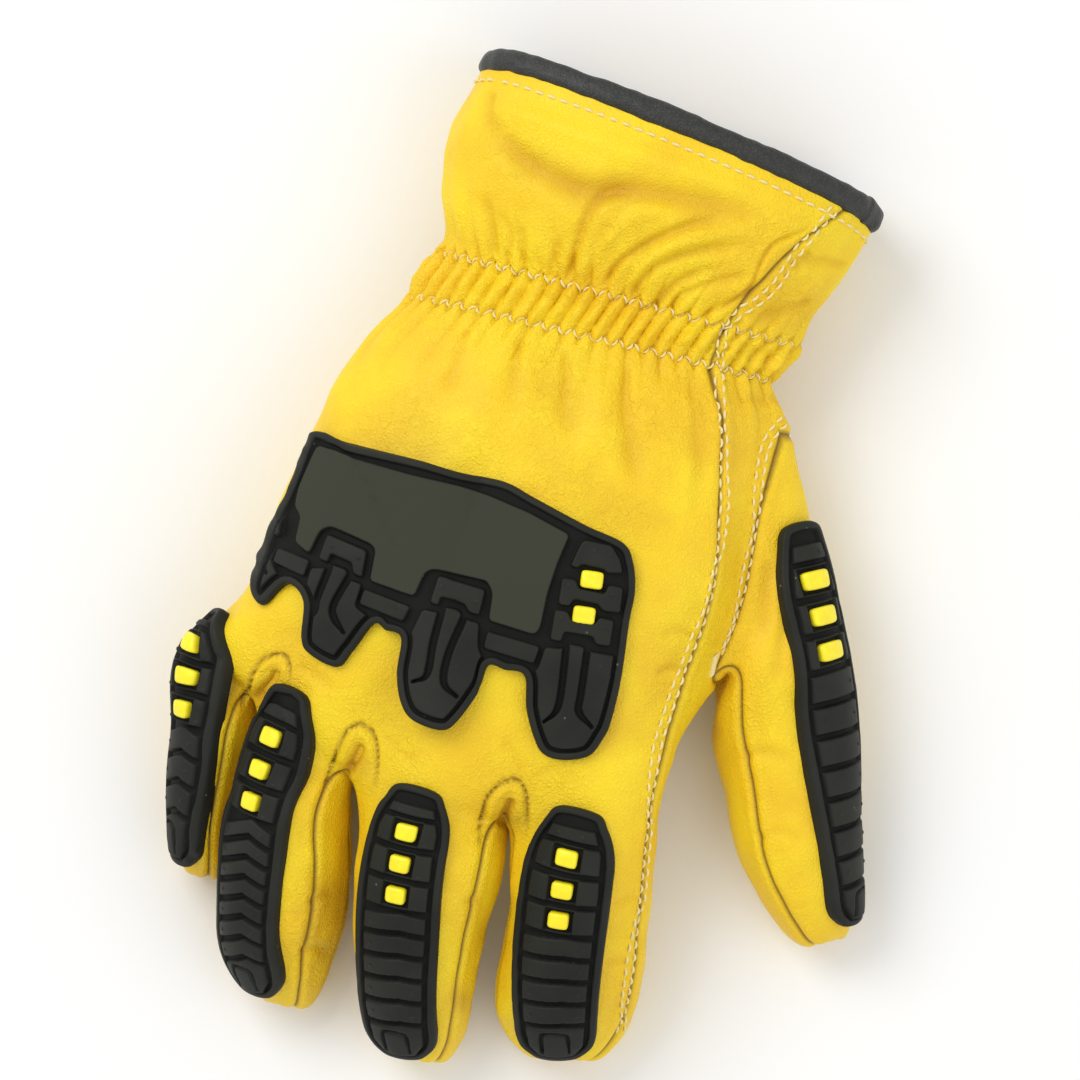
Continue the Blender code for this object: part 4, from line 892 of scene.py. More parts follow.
def fold_relief(points, normals, folds):
    """Height of drawn folds: each is a bell across its line, as wide as its
    row says, fading out at its two ends. They are on the side that faces the
    camera."""
    places = in_picture(points)
    facing = step_up(normals[:, 2], -0.1, 0.35)
    height = np.zeros(len(points))
    for rise, start_width, end_width, line in folds:
        curve = even_steps(smooth_line(line, 4.0), 6.0)
        reach = 3 * max(start_width, end_width)
        low, high = curve.min(axis=0) - reach, curve.max(axis=0) + reach
        near = np.flatnonzero(((places > low) & (places < high)).all(axis=1))
        if len(near) == 0:
            continue
        far, share = line_reach(places[near], curve)
        width = start_width + (end_width - start_width) * share
        fade = step_up(share, -0.02, 0.12) * (1 - step_up(share, 0.7, 1.02))
        height[near] += FOLD_STRENGTH * rise / 1000 * np.exp(-(far / width) ** 2) * fade
    return height * facing


def spots_mask(points, normals, spots):
    """From 0 to 1 near the drawn spots, on the side that faces the camera."""
    places = in_picture(points)
    out = np.zeros(len(points))
    for u, v, reach in spots:
        far = np.hypot(places[:, 0] - u, places[:, 1] - v) / reach
        out = np.maximum(out, np.exp(-far ** 2))
    return out * step_up(normals[:, 2], -0.5, 0.3)


class Glove:
    """The smooth leather and what is laid on it, worked out once."""

    def __init__(self):
        skin = Skin()
        rings, hole = add_hand(skin)
        bases = add_fingers(skin, rings[-1])
        bases["thumb"] = add_thumb(skin, rings, hole)
        control = fitted_control(skin)
        self.shift = self.seat(subdivided(control, 1))
        self.bases = {name: base + self.shift[:2] for name, base in bases.items()}
        edges = np.array(skin.points)[[rings[-1][19], rings[-1][10]]][:, :2] + self.shift[:2]
        self.left_edge, self.right_edge = edges
        self.levels = {}
        for level in sorted({HAND_FINENESS, REST_FINENESS, LAYING_FINENESS, LINING_FINENESS}):
            points, quads, kinds = subdivided(control, level)
            points = settled(points) + self.shift
            self.levels[level] = (points, quads, kinds, point_normals(points, quads))
        bpy.data.objects.remove(control, do_unlink=True)
        points, quads, _, _ = self.levels[LAYING_FINENESS]
        self.smooth = BVHTree.FromPolygons(points.tolist(), quads.tolist())
        self.gathers = Gathers(self.shift)
        points, quads, kinds, normals = self.levels[HAND_FINENESS]
        seams, hem = seam_points(quads, kinds % 16)
        self.seams = (points[seams], normals[seams])
        self.hem = (points[hem], normals[hem])

    @staticmethod
    def seat(coarse):
        """How far the solids' frame lies from the drawing's: the binding's
        roll is worked out as it is for the solid and set against its box."""
        points, quads, _ = coarse
        points = settled(points)
        normals = point_normals(points, quads)
        loop, outward = cuff_edge(points, quads, normals)
        middle = points[loop] - normals[loop] * LEATHER / 2 + outward * (SEAM_GAP + BINDING_WIDTH / 2)
        rings = []
        for k in range(6):
            angle = 2 * math.pi * (k + 0.5) / 6
            rings.append(middle + outward * math.cos(angle) * BINDING_WIDTH / 2
                         + normals[loop] * math.sin(angle) * BINDING_DEPTH / 2)
        rings = settled(np.concatenate(rings))
        low, high = (np.array(corner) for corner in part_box("cuff_binding"))
        shift = (low + high) / 2 - (rings.min(axis=0) + rings.max(axis=0)) / 2
        return np.array([shift[0], shift[1], 0.0])

    def relief(self, points, normals):
        """Height of the worked leather over the smooth skin, and the masks of its wrinkles and of the shade
        painted on it: a dark line in the creases of the seams and the crotches, brown shade on the fingers
        and in the crotches, and shade in its hollows."""
        to_seam = nearness(points, normals, *self.seams)
        to_hem = nearness(points, normals, *self.hem)
        height = self.gathers.relief(points)
        height += fold_relief(points, normals, FOLDS)
        creases, lips, mouths = (
            fold_relief(points, normals, [(*kind, loop[part]) for loop in CROTCHES])
            for part, kind in enumerate((CROTCH_CREASE, CROTCH_LIP, CROTCH_HOLLOW)))
        height += creases + lips + mouths
        height += 0.00028 * waves(points, 0.024, 1) + 0.00012 * waves(points, 0.009, 2)
        calm = 1 - np.exp(-(to_hem / 0.004) ** 2)
        height *= calm
        height -= SEAM_DEPTH * np.exp(-(to_seam / SEAM_WIDTH) ** 2)
        height += SWELL_HEIGHT * np.exp(-((to_seam - SWELL_AT) / SWELL_WIDTH) ** 2)
        height *= step_up(points[:, 2], -0.0005, 0.004)
        wrinkled = spots_mask(points, normals, WRINKLED)
        near_seam = np.exp(-(to_seam / 0.006) ** 2)
        past_top, past_low, _ = self.gathers.places(points)
        near_rows = np.exp(-(np.minimum(abs(past_top), abs(past_low)) / 0.012) ** 2)
        masks = {
            # Painted shade: a dark line in the creases of the seams and of the crotch loops
            "seam": np.clip(np.exp(-(to_seam / 0.0005) ** 2) - creases * 700, 0, 1),
            "wrinkle": np.clip(0.25 + 0.75 * wrinkled + 0.45 * near_seam + 0.6 * near_rows, 0, 1),
            # Painted brown shade on the fingers and in the crotches
            "brown_shade": spots_mask(points, normals, BROWN_SHADE_SPOTS),
            # Painted shade: darker the deeper the leather lies in a fold, darkest in the crotches' hollows
            "hollow": np.clip(-height / 0.0009 - mouths * 1500, 0, 3),
        }
        return height, masks


def cuff_edge(points, quads, normals):
    """The loop of points along the cuff's edge, and directions out of the
    leather across it."""
    following = dict(border_of(quads).tolist())
    start = min(following)
    loop = [start]
    while following[loop[-1]] != start:
        loop.append(following[loop[-1]])
    loop = np.array(loop)
    run = unit(np.roll(points[loop], -1, axis=0) - np.roll(points[loop], 1, axis=0))
    return loop, unit(np.cross(run, normals[loop]))


class Patch:
    """A place on the leather to lay a flat drawing on. In the drawing, x runs
    to the right and y ahead. The drawing's middle line runs through a start,
    a middle and an end point and turns with their facings. It never bends
    more sharply than the least radius, so that it bridges hollows."""

    def __init__(self, tree, spots, facings, least_radius):
        self.tree = tree
        self.least_radius = least_radius
        self.spots = np.array(spots)
        self.facings = np.array(facings)
        line = np.array([self.blend(self.spots, share) for share in np.linspace(0, 1, 21)])
        self.length = np.linalg.norm(np.diff(line, axis=0), axis=1).sum()

    @staticmethod
    def blend(three, share):
        """The curve through three values at shares 0, a half and 1."""
        weights = ((1 - share) * (1 - 2 * share), 4 * share * (1 - share), share * (2 * share - 1))
        return sum(weight * value for weight, value in zip(weights, three))

    def lay(self, x, y):
        """Where a spot of the drawing lies on the leather, and the way that a
        height over it goes, half way from the drawing's facing to the
        leather's."""
        share = y / self.length + 0.5
        ahead = self.blend(self.spots, share + 0.01) - self.blend(self.spots, share - 0.01)
        facing = self.blend(self.facings, share)
        right = unit(np.cross(facing, ahead))
        facing = unit(np.cross(ahead, right))
        start = self.blend(self.spots, share) + right * x + facing * RAY_START
        hit, normal = meet(self.tree, start, -facing)
        deepest = RAY_START + GUARD_DIP + x * x / (2 * self.least_radius)
        if (start - hit) @ facing > deepest:
            hit = start - facing * deepest
            normal = unit(facing + right * x / self.least_radius)
        lean = unit(normal + facing)
        return np.r_[hit, lean / max(lean @ normal, 0.6)]


def meet(tree, start, direction):
    """Where a ray meets the leather, and its normal there. A ray that passes
    beside the leather takes the nearest place to it."""
    hit, normal, _, _ = tree.ray_cast(Vector(start), Vector(direction))
    if hit is None:
        places = [Vector(start + direction * reach) for reach in np.linspace(0, 2 * RAY_START, 25)]
        found = [tree.find_nearest(place) for place in places]
        hit, normal, _, _ = min(found, key=lambda entry: entry[3])
    return np.array(hit), np.array(normal)


class Net:
    """A coarse net of spots laid on the leather, and the smooth sheet through
    them: at any spot of the drawing, the cubic of its four neighbours along
    the one way and then along the other."""

    STEP = 0.0022

    def __init__(self, patch, low, high):
        self.low = np.array(low) - self.STEP
        counts = np.ceil((np.array(high) - self.low) / self.STEP).astype(int) + 2
        xs, ys = (self.low[k] + self.STEP * np.arange(counts[k]) for k in (0, 1))
        self.values = np.array([[patch.lay(x, y) for x in xs] for y in ys])

    @staticmethod
    def weights(t):
        """Shares of the four neighbours at a place t between the middle two."""
        return (t * (t * (2 - t) - 1) / 2, (t * t * (3 * t - 5) + 2) / 2,
                t * (t * (4 - 3 * t) + 1) / 2, t * t * (t - 1) / 2)

    def place(self, x, y, height):
        """Points over the leather at spots of the drawing."""
        rows, columns = self.values.shape[:2]
        across = (np.asarray(x) - self.low[0]) / self.STEP
        along = (np.asarray(y) - self.low[1]) / self.STEP
        column = np.clip(across.astype(int), 0, columns - 2)
        row = np.clip(along.astype(int), 0, rows - 2)
        across_shares = self.weights(np.clip(across - column, 0, 1))
        along_shares = self.weights(np.clip(along - row, 0, 1))
        total = np.zeros((len(column), 6))
        for j in range(4):
            near_row = np.clip(row + j - 1, 0, rows - 1)
            for k in range(4):
                values = self.values[near_row, np.clip(column + k - 1, 0, columns - 1)]
                total += (along_shares[j] * across_shares[k])[:, None] * values
        return total[:, :3] + total[:, 3:] * np.asarray(height)[:, None]


def inside_reach(places, outline):
    """Signed distance to a closed outline, more than 0 inside: the distance
    to the nearest of its sides, and the count of sides that a line to the
    right crosses."""
    a = np.array(outline, dtype=float)
    b = np.roll(a, -1, axis=0)
    run = b - a
    best = np.full(len(places), np.inf)
    within = np.zeros(len(places), dtype=bool)
    x, y = places[:, 0], places[:, 1]
    for k in range(len(a)):
        along = ((x - a[k, 0]) * run[k, 0] + (y - a[k, 1]) * run[k, 1]) / max(run[k] @ run[k], 1e-18)
        along = np.clip(along, 0, 1)
        far = (x - a[k, 0] - along * run[k, 0]) ** 2 + (y - a[k, 1] - along * run[k, 1]) ** 2
        best = np.minimum(best, far)
        crosses = (a[k, 1] > y) != (b[k, 1] > y)
        if run[k, 1] != 0:
            within ^= crosses & (x < a[k, 0] + (y - a[k, 1]) / run[k, 1] * run[k, 0])
    return np.where(within, 1, -1) * np.sqrt(best)


class Sheet:
    """A flat sheet of small squares inside an outline, with the corners of
    its edge moved onto the outline."""

    def __init__(self, outline, step):
        outline = np.array(outline)
        low, high = outline.min(axis=0) - step, outline.max(axis=0) + step
        counts = np.ceil((high - low) / step).astype(int) + 1
        xs, ys = (low[k] + step * np.arange(counts[k]) for k in (0, 1))
        grid = np.stack(np.meshgrid(xs, ys), axis=2)
        inside = (inside_reach(grid.reshape(-1, 2) + step / 2, outline) > 0).reshape(grid.shape[:2])
        quads = grid_faces(*inside.shape)
        quads = quads[inside[:-1, :-1].ravel()]
        used, corners = np.unique(quads, return_inverse=True)
        self.places = grid.reshape(-1, 2)[used]
        self.quads = corners.reshape(-1, 4)
        edge = np.unique(border_of(self.quads))
        dense = even_steps(np.vstack([outline, outline[:1]]), step / 4)
        for first in range(0, len(edge), 500):
            part = edge[first:first + 500]
            gaps = ((self.places[part][:, None] - dense[None]) ** 2).sum(axis=2)
            self.places[part] = dense[gaps.argmin(axis=1)]
        self.depth = np.maximum(inside_reach(self.places, outline), 0)
        self.depth[edge] = 0


def walled(net, places, quads, height, foot):
    """Points and faces of a flat sheet laid on the leather at its heights,
    with a wall from its border down to the foot's height. The faces look away
    from the leather."""
    border = border_of(quads)
    edge, numbers = np.unique(border, return_inverse=True)
    numbers = numbers.reshape(-1, 2) + len(places)
    top = net.place(*places.T, height)
    low = net.place(*places[edge].T, np.full(len(edge), foot))
    walls = np.column_stack([border[:, 1], border[:, 0], numbers[:, 0], numbers[:, 1]])
    faces = np.vstack([quads, walls])
    a, b, c, d = (top[quads[0, k]] for k in range(4))
    nearest = glove().smooth.find_nearest(Vector(a))[0]
    outward = np.cross(c - a, d - b) @ (a - np.array(nearest)) > 0
    return np.vstack([top, low]), faces if outward else faces[:, ::-1]


def rim_height(depth):
    """Height of a guard's edge by the distance from its outline: a rounded
    lip, then a fall to the groove inside it."""
    rounded = np.sqrt(np.clip(1 - (1 - np.clip(depth / 0.0007, 0, 1)) ** 2, 0, 1))
    lip = RIM_HEIGHT * (0.45 + 0.55 * rounded)
    fall = step_up(depth, RIM_WIDTH - 0.00025, RIM_WIDTH + 0.00025)
    return lip * (1 - fall) + GUARD_BASE * fall


def raised(height, depth, top, bevel=0.0004):
    """The higher of a relief and a block of it: the block's top inside, eased
    down over the bevel at its edge."""
    return np.maximum(height, GUARD_BASE + (top - GUARD_BASE) * step_up(depth, -bevel / 2, bevel / 2))


def studs(places, centres, radius=0.00050):
    """Height of small round studs at some centres."""
    out = np.zeros(len(places))
    for x, y in centres:
        far = np.hypot(places[:, 0] - x, places[:, 1] - y) / radius
        out = np.maximum(out, np.sqrt(np.clip(1 - far ** 2, 0, 1)))
    return out * 0.00030


def drawn(shape):
    """Places of the picture in the knuckle guard's own drawing, in metres."""
    return scaled((np.array(shape, dtype=float) - KNUCKLE_MIDDLE) / KNUCKLE_SCALE)


def scaled(shape):
    """Hundredths of the knuckle guard's breadth, in metres."""
    return np.array(shape, dtype=float) * KNUCKLE_GUARD_WIDTH / 100


def rounded_corners(shape, radius):
    """An outline with each corner cut to a curve: the quadratic curve from a
    little before the corner to a little past it."""
    shape = np.array(shape, dtype=float)
    before, after = np.roll(shape, 1, axis=0), np.roll(shape, -1, axis=0)
    out = []
    for corner, a, b in zip(shape, before, after):
        near = min(radius, np.linalg.norm(a - corner) * 0.45)
        far = min(radius, np.linalg.norm(b - corner) * 0.45)
        start, end = corner + unit(a - corner) * near, corner + unit(b - corner) * far
        for t in (0, 0.25, 0.5, 0.75, 1):
            out.append((1 - t) ** 2 * start + 2 * t * (1 - t) * corner + t * t * end)
    return np.array(out)


def groove(places, line, width):
    """How much of a groove's depth there is at each place: all of it on the
    line, none past half the width."""
    far, share = line_reach(places, even_steps(smooth_line(line, 0.0004), 0.0006))
    narrowing = 1 - 0.55 * step_up(share, 0.72, 1.0)
    return 1 - step_up(far, width * narrowing * 0.25, width * narrowing * 0.55)


def knuckle_relief(sheet):
    """Heights of the knuckle guard: rim, smooth plate, brackets and bridges,
    and four tongues whose grooves part the ribs from their sides."""
    places, depth = sheet.places, sheet.depth
    height = rim_height(depth)
    inner = depth - RIM_WIDTH - GROOVE
    plate = inside_reach(places, rounded_corners(scaled(KNUCKLE_PLATE), 0.0012))
    height = raised(height, plate, PLATE_HEIGHT + 0.0003)
    tongues = np.full(len(places), -1.0)
    for shape in TONGUES:
        tongues = np.maximum(tongues, inside_reach(places, rounded_corners(drawn(shape), 0.0010)))
    tongues = np.minimum(tongues, inner + 0.0003)
    cut = np.zeros(len(places))
    for line in TONGUE_GROOVES:
        cut = np.maximum(cut, groove(places, drawn(line), 0.0020))
    top = TREAD_HEIGHT - 0.0003
    tongue = GUARD_BASE + (top - GUARD_BASE) * step_up(tongues, -0.0002, 0.0003) * (1 - cut)
    height = np.maximum(height, tongue)
    for shapes, level in ((RIB_BRACKETS, TREAD_HEIGHT), (INDEX_BLOCKS, TREAD_HEIGHT), (BRIDGE_BLOCKS, top)):
        for shape in shapes:
            block = inside_reach(places, rounded_corners(drawn(shape), 0.0008))
            height = raised(height, np.minimum(block, inner + 0.0009), level)
    height += studs(places, drawn(KNUCKLE_STUDS))
    return height, step_up(plate, 0.0, 0.0003)


class Pad:
    """The drawing of one finger's guard, and its heights."""

    def __init__(self, name, length):
        guard = GUARDS[name]
        self.length, self.width = length, guard["width"]
        self.insert_width = guard["insert_width"]
        self.first = guard["first_insert"] - length / 2
        self.pitch = guard["bar_pitch"]
        self.bend = BAR_BENDS[name]
        rows = [((along - 0.5) * length, share * self.width / 2) for along, share in PAD_PROFILE]
        outline = [(half, y) for y, half in rows] + [(-half, y) for y, half in rows[::-1]]
        self.outline = smooth_line(outline, 0.0004, closed=True)

    def half_width(self, y):
        """Half width of the tread at a place along the pad."""
        shares = np.array(PAD_PROFILE)
        share = np.interp(y / self.length + 0.5, shares[:, 0], shares[:, 1])
        return share * self.width / 2 - RIM_WIDTH - GROOVE

    def insert_places(self):
        """Middles of the inserts along the pad."""
        return [self.first + number * INSERT_PITCH for number in range(INSERT_ROWS)]

    def relief(self, sheet):
        """Heights of the pad: the rim, a head block with two studs, wings
        beside the inserts, bars bent like an arrow, and the end block with
        its bow-shaped groove."""
        x, y = sheet.places.T
        height = rim_height(sheet.depth)
        side = self.half_width(y) - abs(x)
        crown = TREAD_HEIGHT - 0.0006 * (abs(x) / np.maximum(self.half_width(y), 0.002)) ** 2
        fork = y - self.bend * (abs(x - 0.2 * self.width / 2) - self.width / 8)
        blocks = []
        start = HEADER_START - self.length / 2
        blocks.append(np.minimum(y - start, self.first - INSERT_PITCH / 2 - SLOT / 2 + 0.0004 - y))
        pocket = self.insert_width / 2 + POCKET
        for middle in self.insert_places():
            window = np.maximum(abs(x) - pocket, abs(y - middle) - INSERT_LENGTH / 2 - POCKET)
            wings = (INSERT_PITCH - SLOT) / 2 - abs(y - middle)
            blocks.append(np.minimum(wings, window))
            blocks[-1] = np.minimum(blocks[-1], side + 0.0006)
        rows_end = self.first + (INSERT_ROWS - 0.5) * INSERT_PITCH + SLOT / 2
        end = self.length / 2 - RIM_WIDTH - GROOVE
        bars = max(1, round((end - END_BLOCK - rows_end) / self.pitch))
        pitch = (end - END_BLOCK - rows_end) / bars
        dots = [(s * self.half_width(start + 0.002) * 0.55, start + 0.0022) for s in (-1, 1)]
        for number in range(bars):
            low = rows_end + number * pitch
            blocks.append(np.minimum(fork - low, low + pitch - SLOT - fork))
            middle = low + (pitch - SLOT) / 2
            reach = self.half_width(middle) * 0.74
            for s in (-1, 1):
                shift = self.bend * (abs(s * reach - 0.2 * self.width / 2) - self.width / 8)
                dots.append((s * reach, middle + shift))
        blocks.append(np.minimum(fork - (end - END_BLOCK), end + 0.001 - y))
        for middle in self.insert_places():
            dots += [(s * (pocket + 0.0020), middle + INSERT_PITCH / 2 - 0.0016) for s in (-1, 1)]
        body = np.full(len(x), -1.0)
        for block in blocks:
            body = np.maximum(body, block)
        body = np.minimum(body, side + 0.0004)
        height = np.maximum(height, GUARD_BASE + (crown - GUARD_BASE) * step_up(body, -0.0001, 0.00045))
        bow_width = self.half_width(end - END_BLOCK / 2) * 0.48
        bow_start = end - END_BLOCK + 0.0018
        bow = ((-bow_width, end - 0.0006), (-bow_width, bow_start + 0.0012), (-bow_width + 0.001, bow_start),
               (bow_width - 0.001, bow_start), (bow_width, bow_start + 0.0012), (bow_width, end - 0.0006))
        height -= 0.0011 * groove(sheet.places, bow, 0.0011) * step_up(body, 0, 0.0005)
        height += studs(sheet.places, dots) * step_up(body, 0, 0.0004)
        return height


def rounded_box(width, length, high, steps=14):
    """The top of a box with rounded edges, on a grid of u and v from -1 to 1.
    The grid is pushed towards the curve u^6 + v^6 = 1, and its height is
    high - 0.45 mm * max(|u|, |v|)^8 - 0.12 mm * (u^2 + v^2)."""
    t = np.linspace(-1, 1, steps + 1)
    u, v = np.meshgrid(t, t)
    rim = np.maximum(abs(u), abs(v))
    corner = (abs(u) ** 6 + abs(v) ** 6) ** (1 / 6)
    pull = 1 + (np.where(corner > 0, rim / np.maximum(corner, 1e-9), 1) - 1) * rim ** 4
    x, y = u * pull * width / 2, v * pull * length / 2
    z = high - 0.00045 * rim ** 8 - 0.00012 * (u * u + v * v)
    return np.column_stack([x.ravel(), y.ravel()]), z.ravel(), grid_faces(steps + 1, steps + 1)


def grid_faces(rows, columns, wrap=False):
    """Faces of a grid of points, rows by columns. A wrapped grid's last
    column joins its first."""
    number = np.arange(rows * columns).reshape(rows, columns)
    if wrap:
        number = np.hstack([number, number[:, :1]])
    corners = [number[:-1, :-1], number[:-1, 1:], number[1:, 1:], number[1:, :-1]]
    return np.stack(corners, axis=2).reshape(-1, 4)


def add_piece(name, points, faces, material, slot, nodes=(), masks=None):
    """A smooth-shaded mesh object that rides on the glove, in the place of
    its solids."""
    mesh = bpy.data.meshes.new(name)
    mesh.from_pydata(points.tolist(), [], faces.tolist())
    mesh.polygons.foreach_set("use_smooth", np.ones(len(mesh.polygons), dtype=bool))
    for key, values in (masks or {}).items():
        layer = mesh.attributes.new(key, "FLOAT", "POINT")
        layer.data.foreach_set("value", np.asarray(values, dtype=np.float32))
    mesh.materials.append(material)
    mesh.update()
    obj = bpy.data.objects.new(name, mesh)
    bpy.context.scene.collection.objects.link(obj)
    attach(obj, "root")
    if nodes:
        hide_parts(*nodes)
    return obj


def arithmetic(operation, swapped=False):
    """A method that adds a Math node to a value, which comes last if swapped."""
    def act(self, *others):
        values = (*others, self) if swapped else (self, *others)
        return self.finish.node("ShaderNodeMath", {"operation": operation}, values)
    return act


class Value:
    """The output of a shader node. Arithmetic on it adds Math nodes."""

    def __init__(self, finish, socket):
        self.finish = finish
        self.socket = socket

    __add__, __radd__ = arithmetic("ADD"), arithmetic("ADD", True)
    __sub__, __rsub__ = arithmetic("SUBTRACT"), arithmetic("SUBTRACT", True)
    __mul__, __rmul__ = arithmetic("MULTIPLY"), arithmetic("MULTIPLY", True)
    __abs__ = arithmetic("ABSOLUTE")


class Finish:
    """A Principled material whose nodes are added by expressions."""

    def __init__(self, name, roughness, coat=0.0, sheen=0.0):
        self.material = bpy.data.materials.new(name)
        self.material.use_nodes = True
        self.tree = self.material.node_tree
        self.shader = self.tree.nodes["Principled BSDF"]
        self.shader.inputs["Roughness"].default_value = roughness
        self.shader.inputs["Coat Weight"].default_value = coat
        self.shader.inputs["Coat Roughness"].default_value = 0.35
        self.shader.inputs["Sheen Weight"].default_value = sheen
        self.place = self.node("ShaderNodeTexCoord", output="Object")

    def node(self, kind, settings=None, inputs=(), output=0):
        """A node with its settings and its inputs' values or links."""
        node = self.tree.nodes.new(kind)
        for key, value in (settings or {}).items():
            if key == "stops":
                for element, (place, colour) in zip(node.color_ramp.elements, value):
                    element.position = place
                    element.color = colour
            else:
                setattr(node, key, value)
        pairs = inputs.items() if isinstance(inputs, dict) else enumerate(inputs)
        for key, value in pairs:
            if isinstance(value, Value):
                self.tree.links.new(value.socket, node.inputs[key])
            else:
                node.inputs[key].default_value = value
        return Value(self, node.outputs[output])

    def noise(self, scale, detail=2.0, distortion=0.0, place=None):
        """Noise about a half, by the object's place."""
        return self.node("ShaderNodeTexNoise", inputs={"Vector": place or self.place, "Scale": scale,
                                                        "Detail": detail, "Distortion": distortion})

    def cells(self, scale, feature="DISTANCE_TO_EDGE", place=None):
        """Distance to the edges, or the middles, of irregular cells."""
        return self.node("ShaderNodeTexVoronoi", {"feature": feature},
                         {"Vector": place or self.place, "Scale": scale}, "Distance")

    def eased(self, value, low, high, start=0.0, end=1.0):
        """The value mapped smoothly from one range to another, and held."""
        return self.node("ShaderNodeMapRange", {"interpolation_type": "SMOOTHSTEP"},
                         {"Value": value, "From Min": low, "From Max": high, "To Min": start, "To Max": end})

    def mask(self, name):
        """A mask kept on the mesh's points."""
        return self.node("ShaderNodeAttribute", {"attribute_name": name}, output="Fac")

    def mixed(self, share, first, second):
        """One colour turned into another."""
        colours = [value if isinstance(value, Value) else (*value, 1.0) for value in (first, second)]
        return self.node("ShaderNodeMix", {"data_type": "RGBA"}, {0: share, 6: colours[0], 7: colours[1]}, 2)

    def moved(self, amount, scale):
        """The object's place, shaken a little by noise."""
        shake = self.node("ShaderNodeTexNoise", inputs={"Vector": self.place, "Scale": scale}, output="Color")
        shake = self.node("ShaderNodeVectorMath", {"operation": "SUBTRACT"}, (shake, (0.5, 0.5, 0.5)))
        return self.node("ShaderNodeVectorMath", {"operation": "MULTIPLY_ADD"},
                         (shake, (amount, amount, amount), self.place))

    def bumped(self, height, distance, strength=1.0, under=None):
        """A normal that leans with a height, over another one if given."""
        inputs = {"Height": height, "Distance": distance, "Strength": strength}
        if under is not None:
            inputs["Normal"] = under
        return self.node("ShaderNodeBump", inputs=inputs)

    def set(self, **values):
        """Link or set the shader's sockets, their names written with _."""
        for key, value in values.items():
            socket = self.shader.inputs[key.replace("_", " ")]
            if isinstance(value, Value):
                self.tree.links.new(value.socket, socket)
            else:
                socket.default_value = value
        return self.material


def leather_finish(name, look, lining=False):
    """Yellow grain leather: pebbles a millimetre across parted by creases, finer pores, wrinkles where the
    masks ask for them, painted shade in the creases between the pebbles, along the wrinkles, in the hollows
    and along the seams, and painted brown shade on the fingers and in the crotches."""
    finish = Finish(name, 0.45, coat=0.0 if lining else 0.06, sheen=0.0)
    finish.set(Specular_IOR_Level=0.35)
    wrinkle = finish.mask("wrinkle")
    shaken = finish.moved(0.0011, 420.0)
    pebbles = finish.eased(finish.cells(1000.0, place=shaken), 0.0, 0.42)
    pores = finish.noise(2600.0, 3.0)
    lines = abs(finish.noise(300.0, 3.0, 1.0) - 0.5) * 5.0
    lines = finish.eased(lines, 0.0, 0.8)
    broad = finish.noise(42.0, 3.0)
    height = pebbles * (0.40 + wrinkle * 0.25) + pores * 0.35 + lines * wrinkle * 0.7
    normal = finish.bumped(height, look.grain_depth, 0.9)
    tone = finish.mixed(finish.eased(broad, 0.32, 0.68), look.leather_deep, look.leather_light)
    # Painted shade in the creases between the pebbles and along the wrinkles
    tone = finish.mixed((1 - pebbles) * (0.10 + wrinkle * 0.12), tone, look.leather_crease_shade)
    tone = finish.mixed((1 - lines) * wrinkle * 0.14, tone, look.leather_crease_shade)
    # Painted shade in the hollows of the folds
    tone = finish.mixed(finish.mask("hollow") * 0.3, tone, look.leather_crease_shade)
    # Painted brown shade on the fingers and in the crotches, made patchy by noise
    patchy = finish.eased(finish.noise(160.0, 4.0), 0.35, 0.62, 0.45, 1.0)
    tone = finish.mixed(finish.mask("brown_shade") * patchy * 0.4, tone, look.leather_brown_shade)
    # Painted shade: a dark line in the creases of the seams and the crotch loops
    tone = finish.mixed(finish.mask("seam") * 0.85, tone, look.seam_shade_colour)
    roughness = 0.40 + broad * 0.14 + wrinkle * 0.10
    return finish.set(Base_Color=tone, Roughness=roughness, Normal=normal)


def rubber_finish(name, look):
    """Moulded rubber, finely matt, with painted shade in its grooves and at the foot of its walls, paler and
    smoother on the plate, and a few specks of dust."""
    finish = Finish(name, 0.62)
    finish.set(Specular_IOR_Level=0.22)
    plate = finish.mask("plate")
    deep = finish.mask("deep")
    cloud = finish.noise(60.0, 3.0)
    matt = finish.noise(2600.0, 2.0)
    specks = finish.eased(finish.cells(300.0, "F1"), 0.05, 0.11, 1.0, 0.0)
    specks = specks * finish.eased(finish.noise(90.0, 1.0), 0.58, 0.66)
    tone = finish.mixed(finish.eased(cloud, 0.3, 0.7), look.rubber_dark, look.rubber_light)
    tone = finish.mixed(plate, tone, look.plate_colour)
    # Painted shade in the grooves and on the walls
    tone = finish.mixed(deep * 0.9, tone, look.groove_shade_colour)
    tone = finish.mixed(specks * (1 - plate) * 0.35, tone, look.dust_colour)
    normal = finish.bumped(matt * (1 - plate * 0.7), 0.00006, 0.8)
    roughness = 0.50 + matt * 0.12 + deep * 0.15 + plate * 0.38
    return finish.set(Base_Color=tone, Roughness=roughness, Normal=normal)


def insert_finish(name, look):
    """Bright yellow rubber, smooth, with a faint unevenness."""
    finish = Finish(name, 0.38, coat=0.15)
    cloud = finish.noise(500.0, 3.0)
    tone = finish.mixed(finish.eased(cloud, 0.35, 0.7), look.insert_colour, look.insert_shade)
    normal = finish.bumped(finish.noise(1500.0, 2.0), 0.00005, 0.6)
    return finish.set(Base_Color=tone, Roughness=0.34 + cloud * 0.12, Normal=normal)


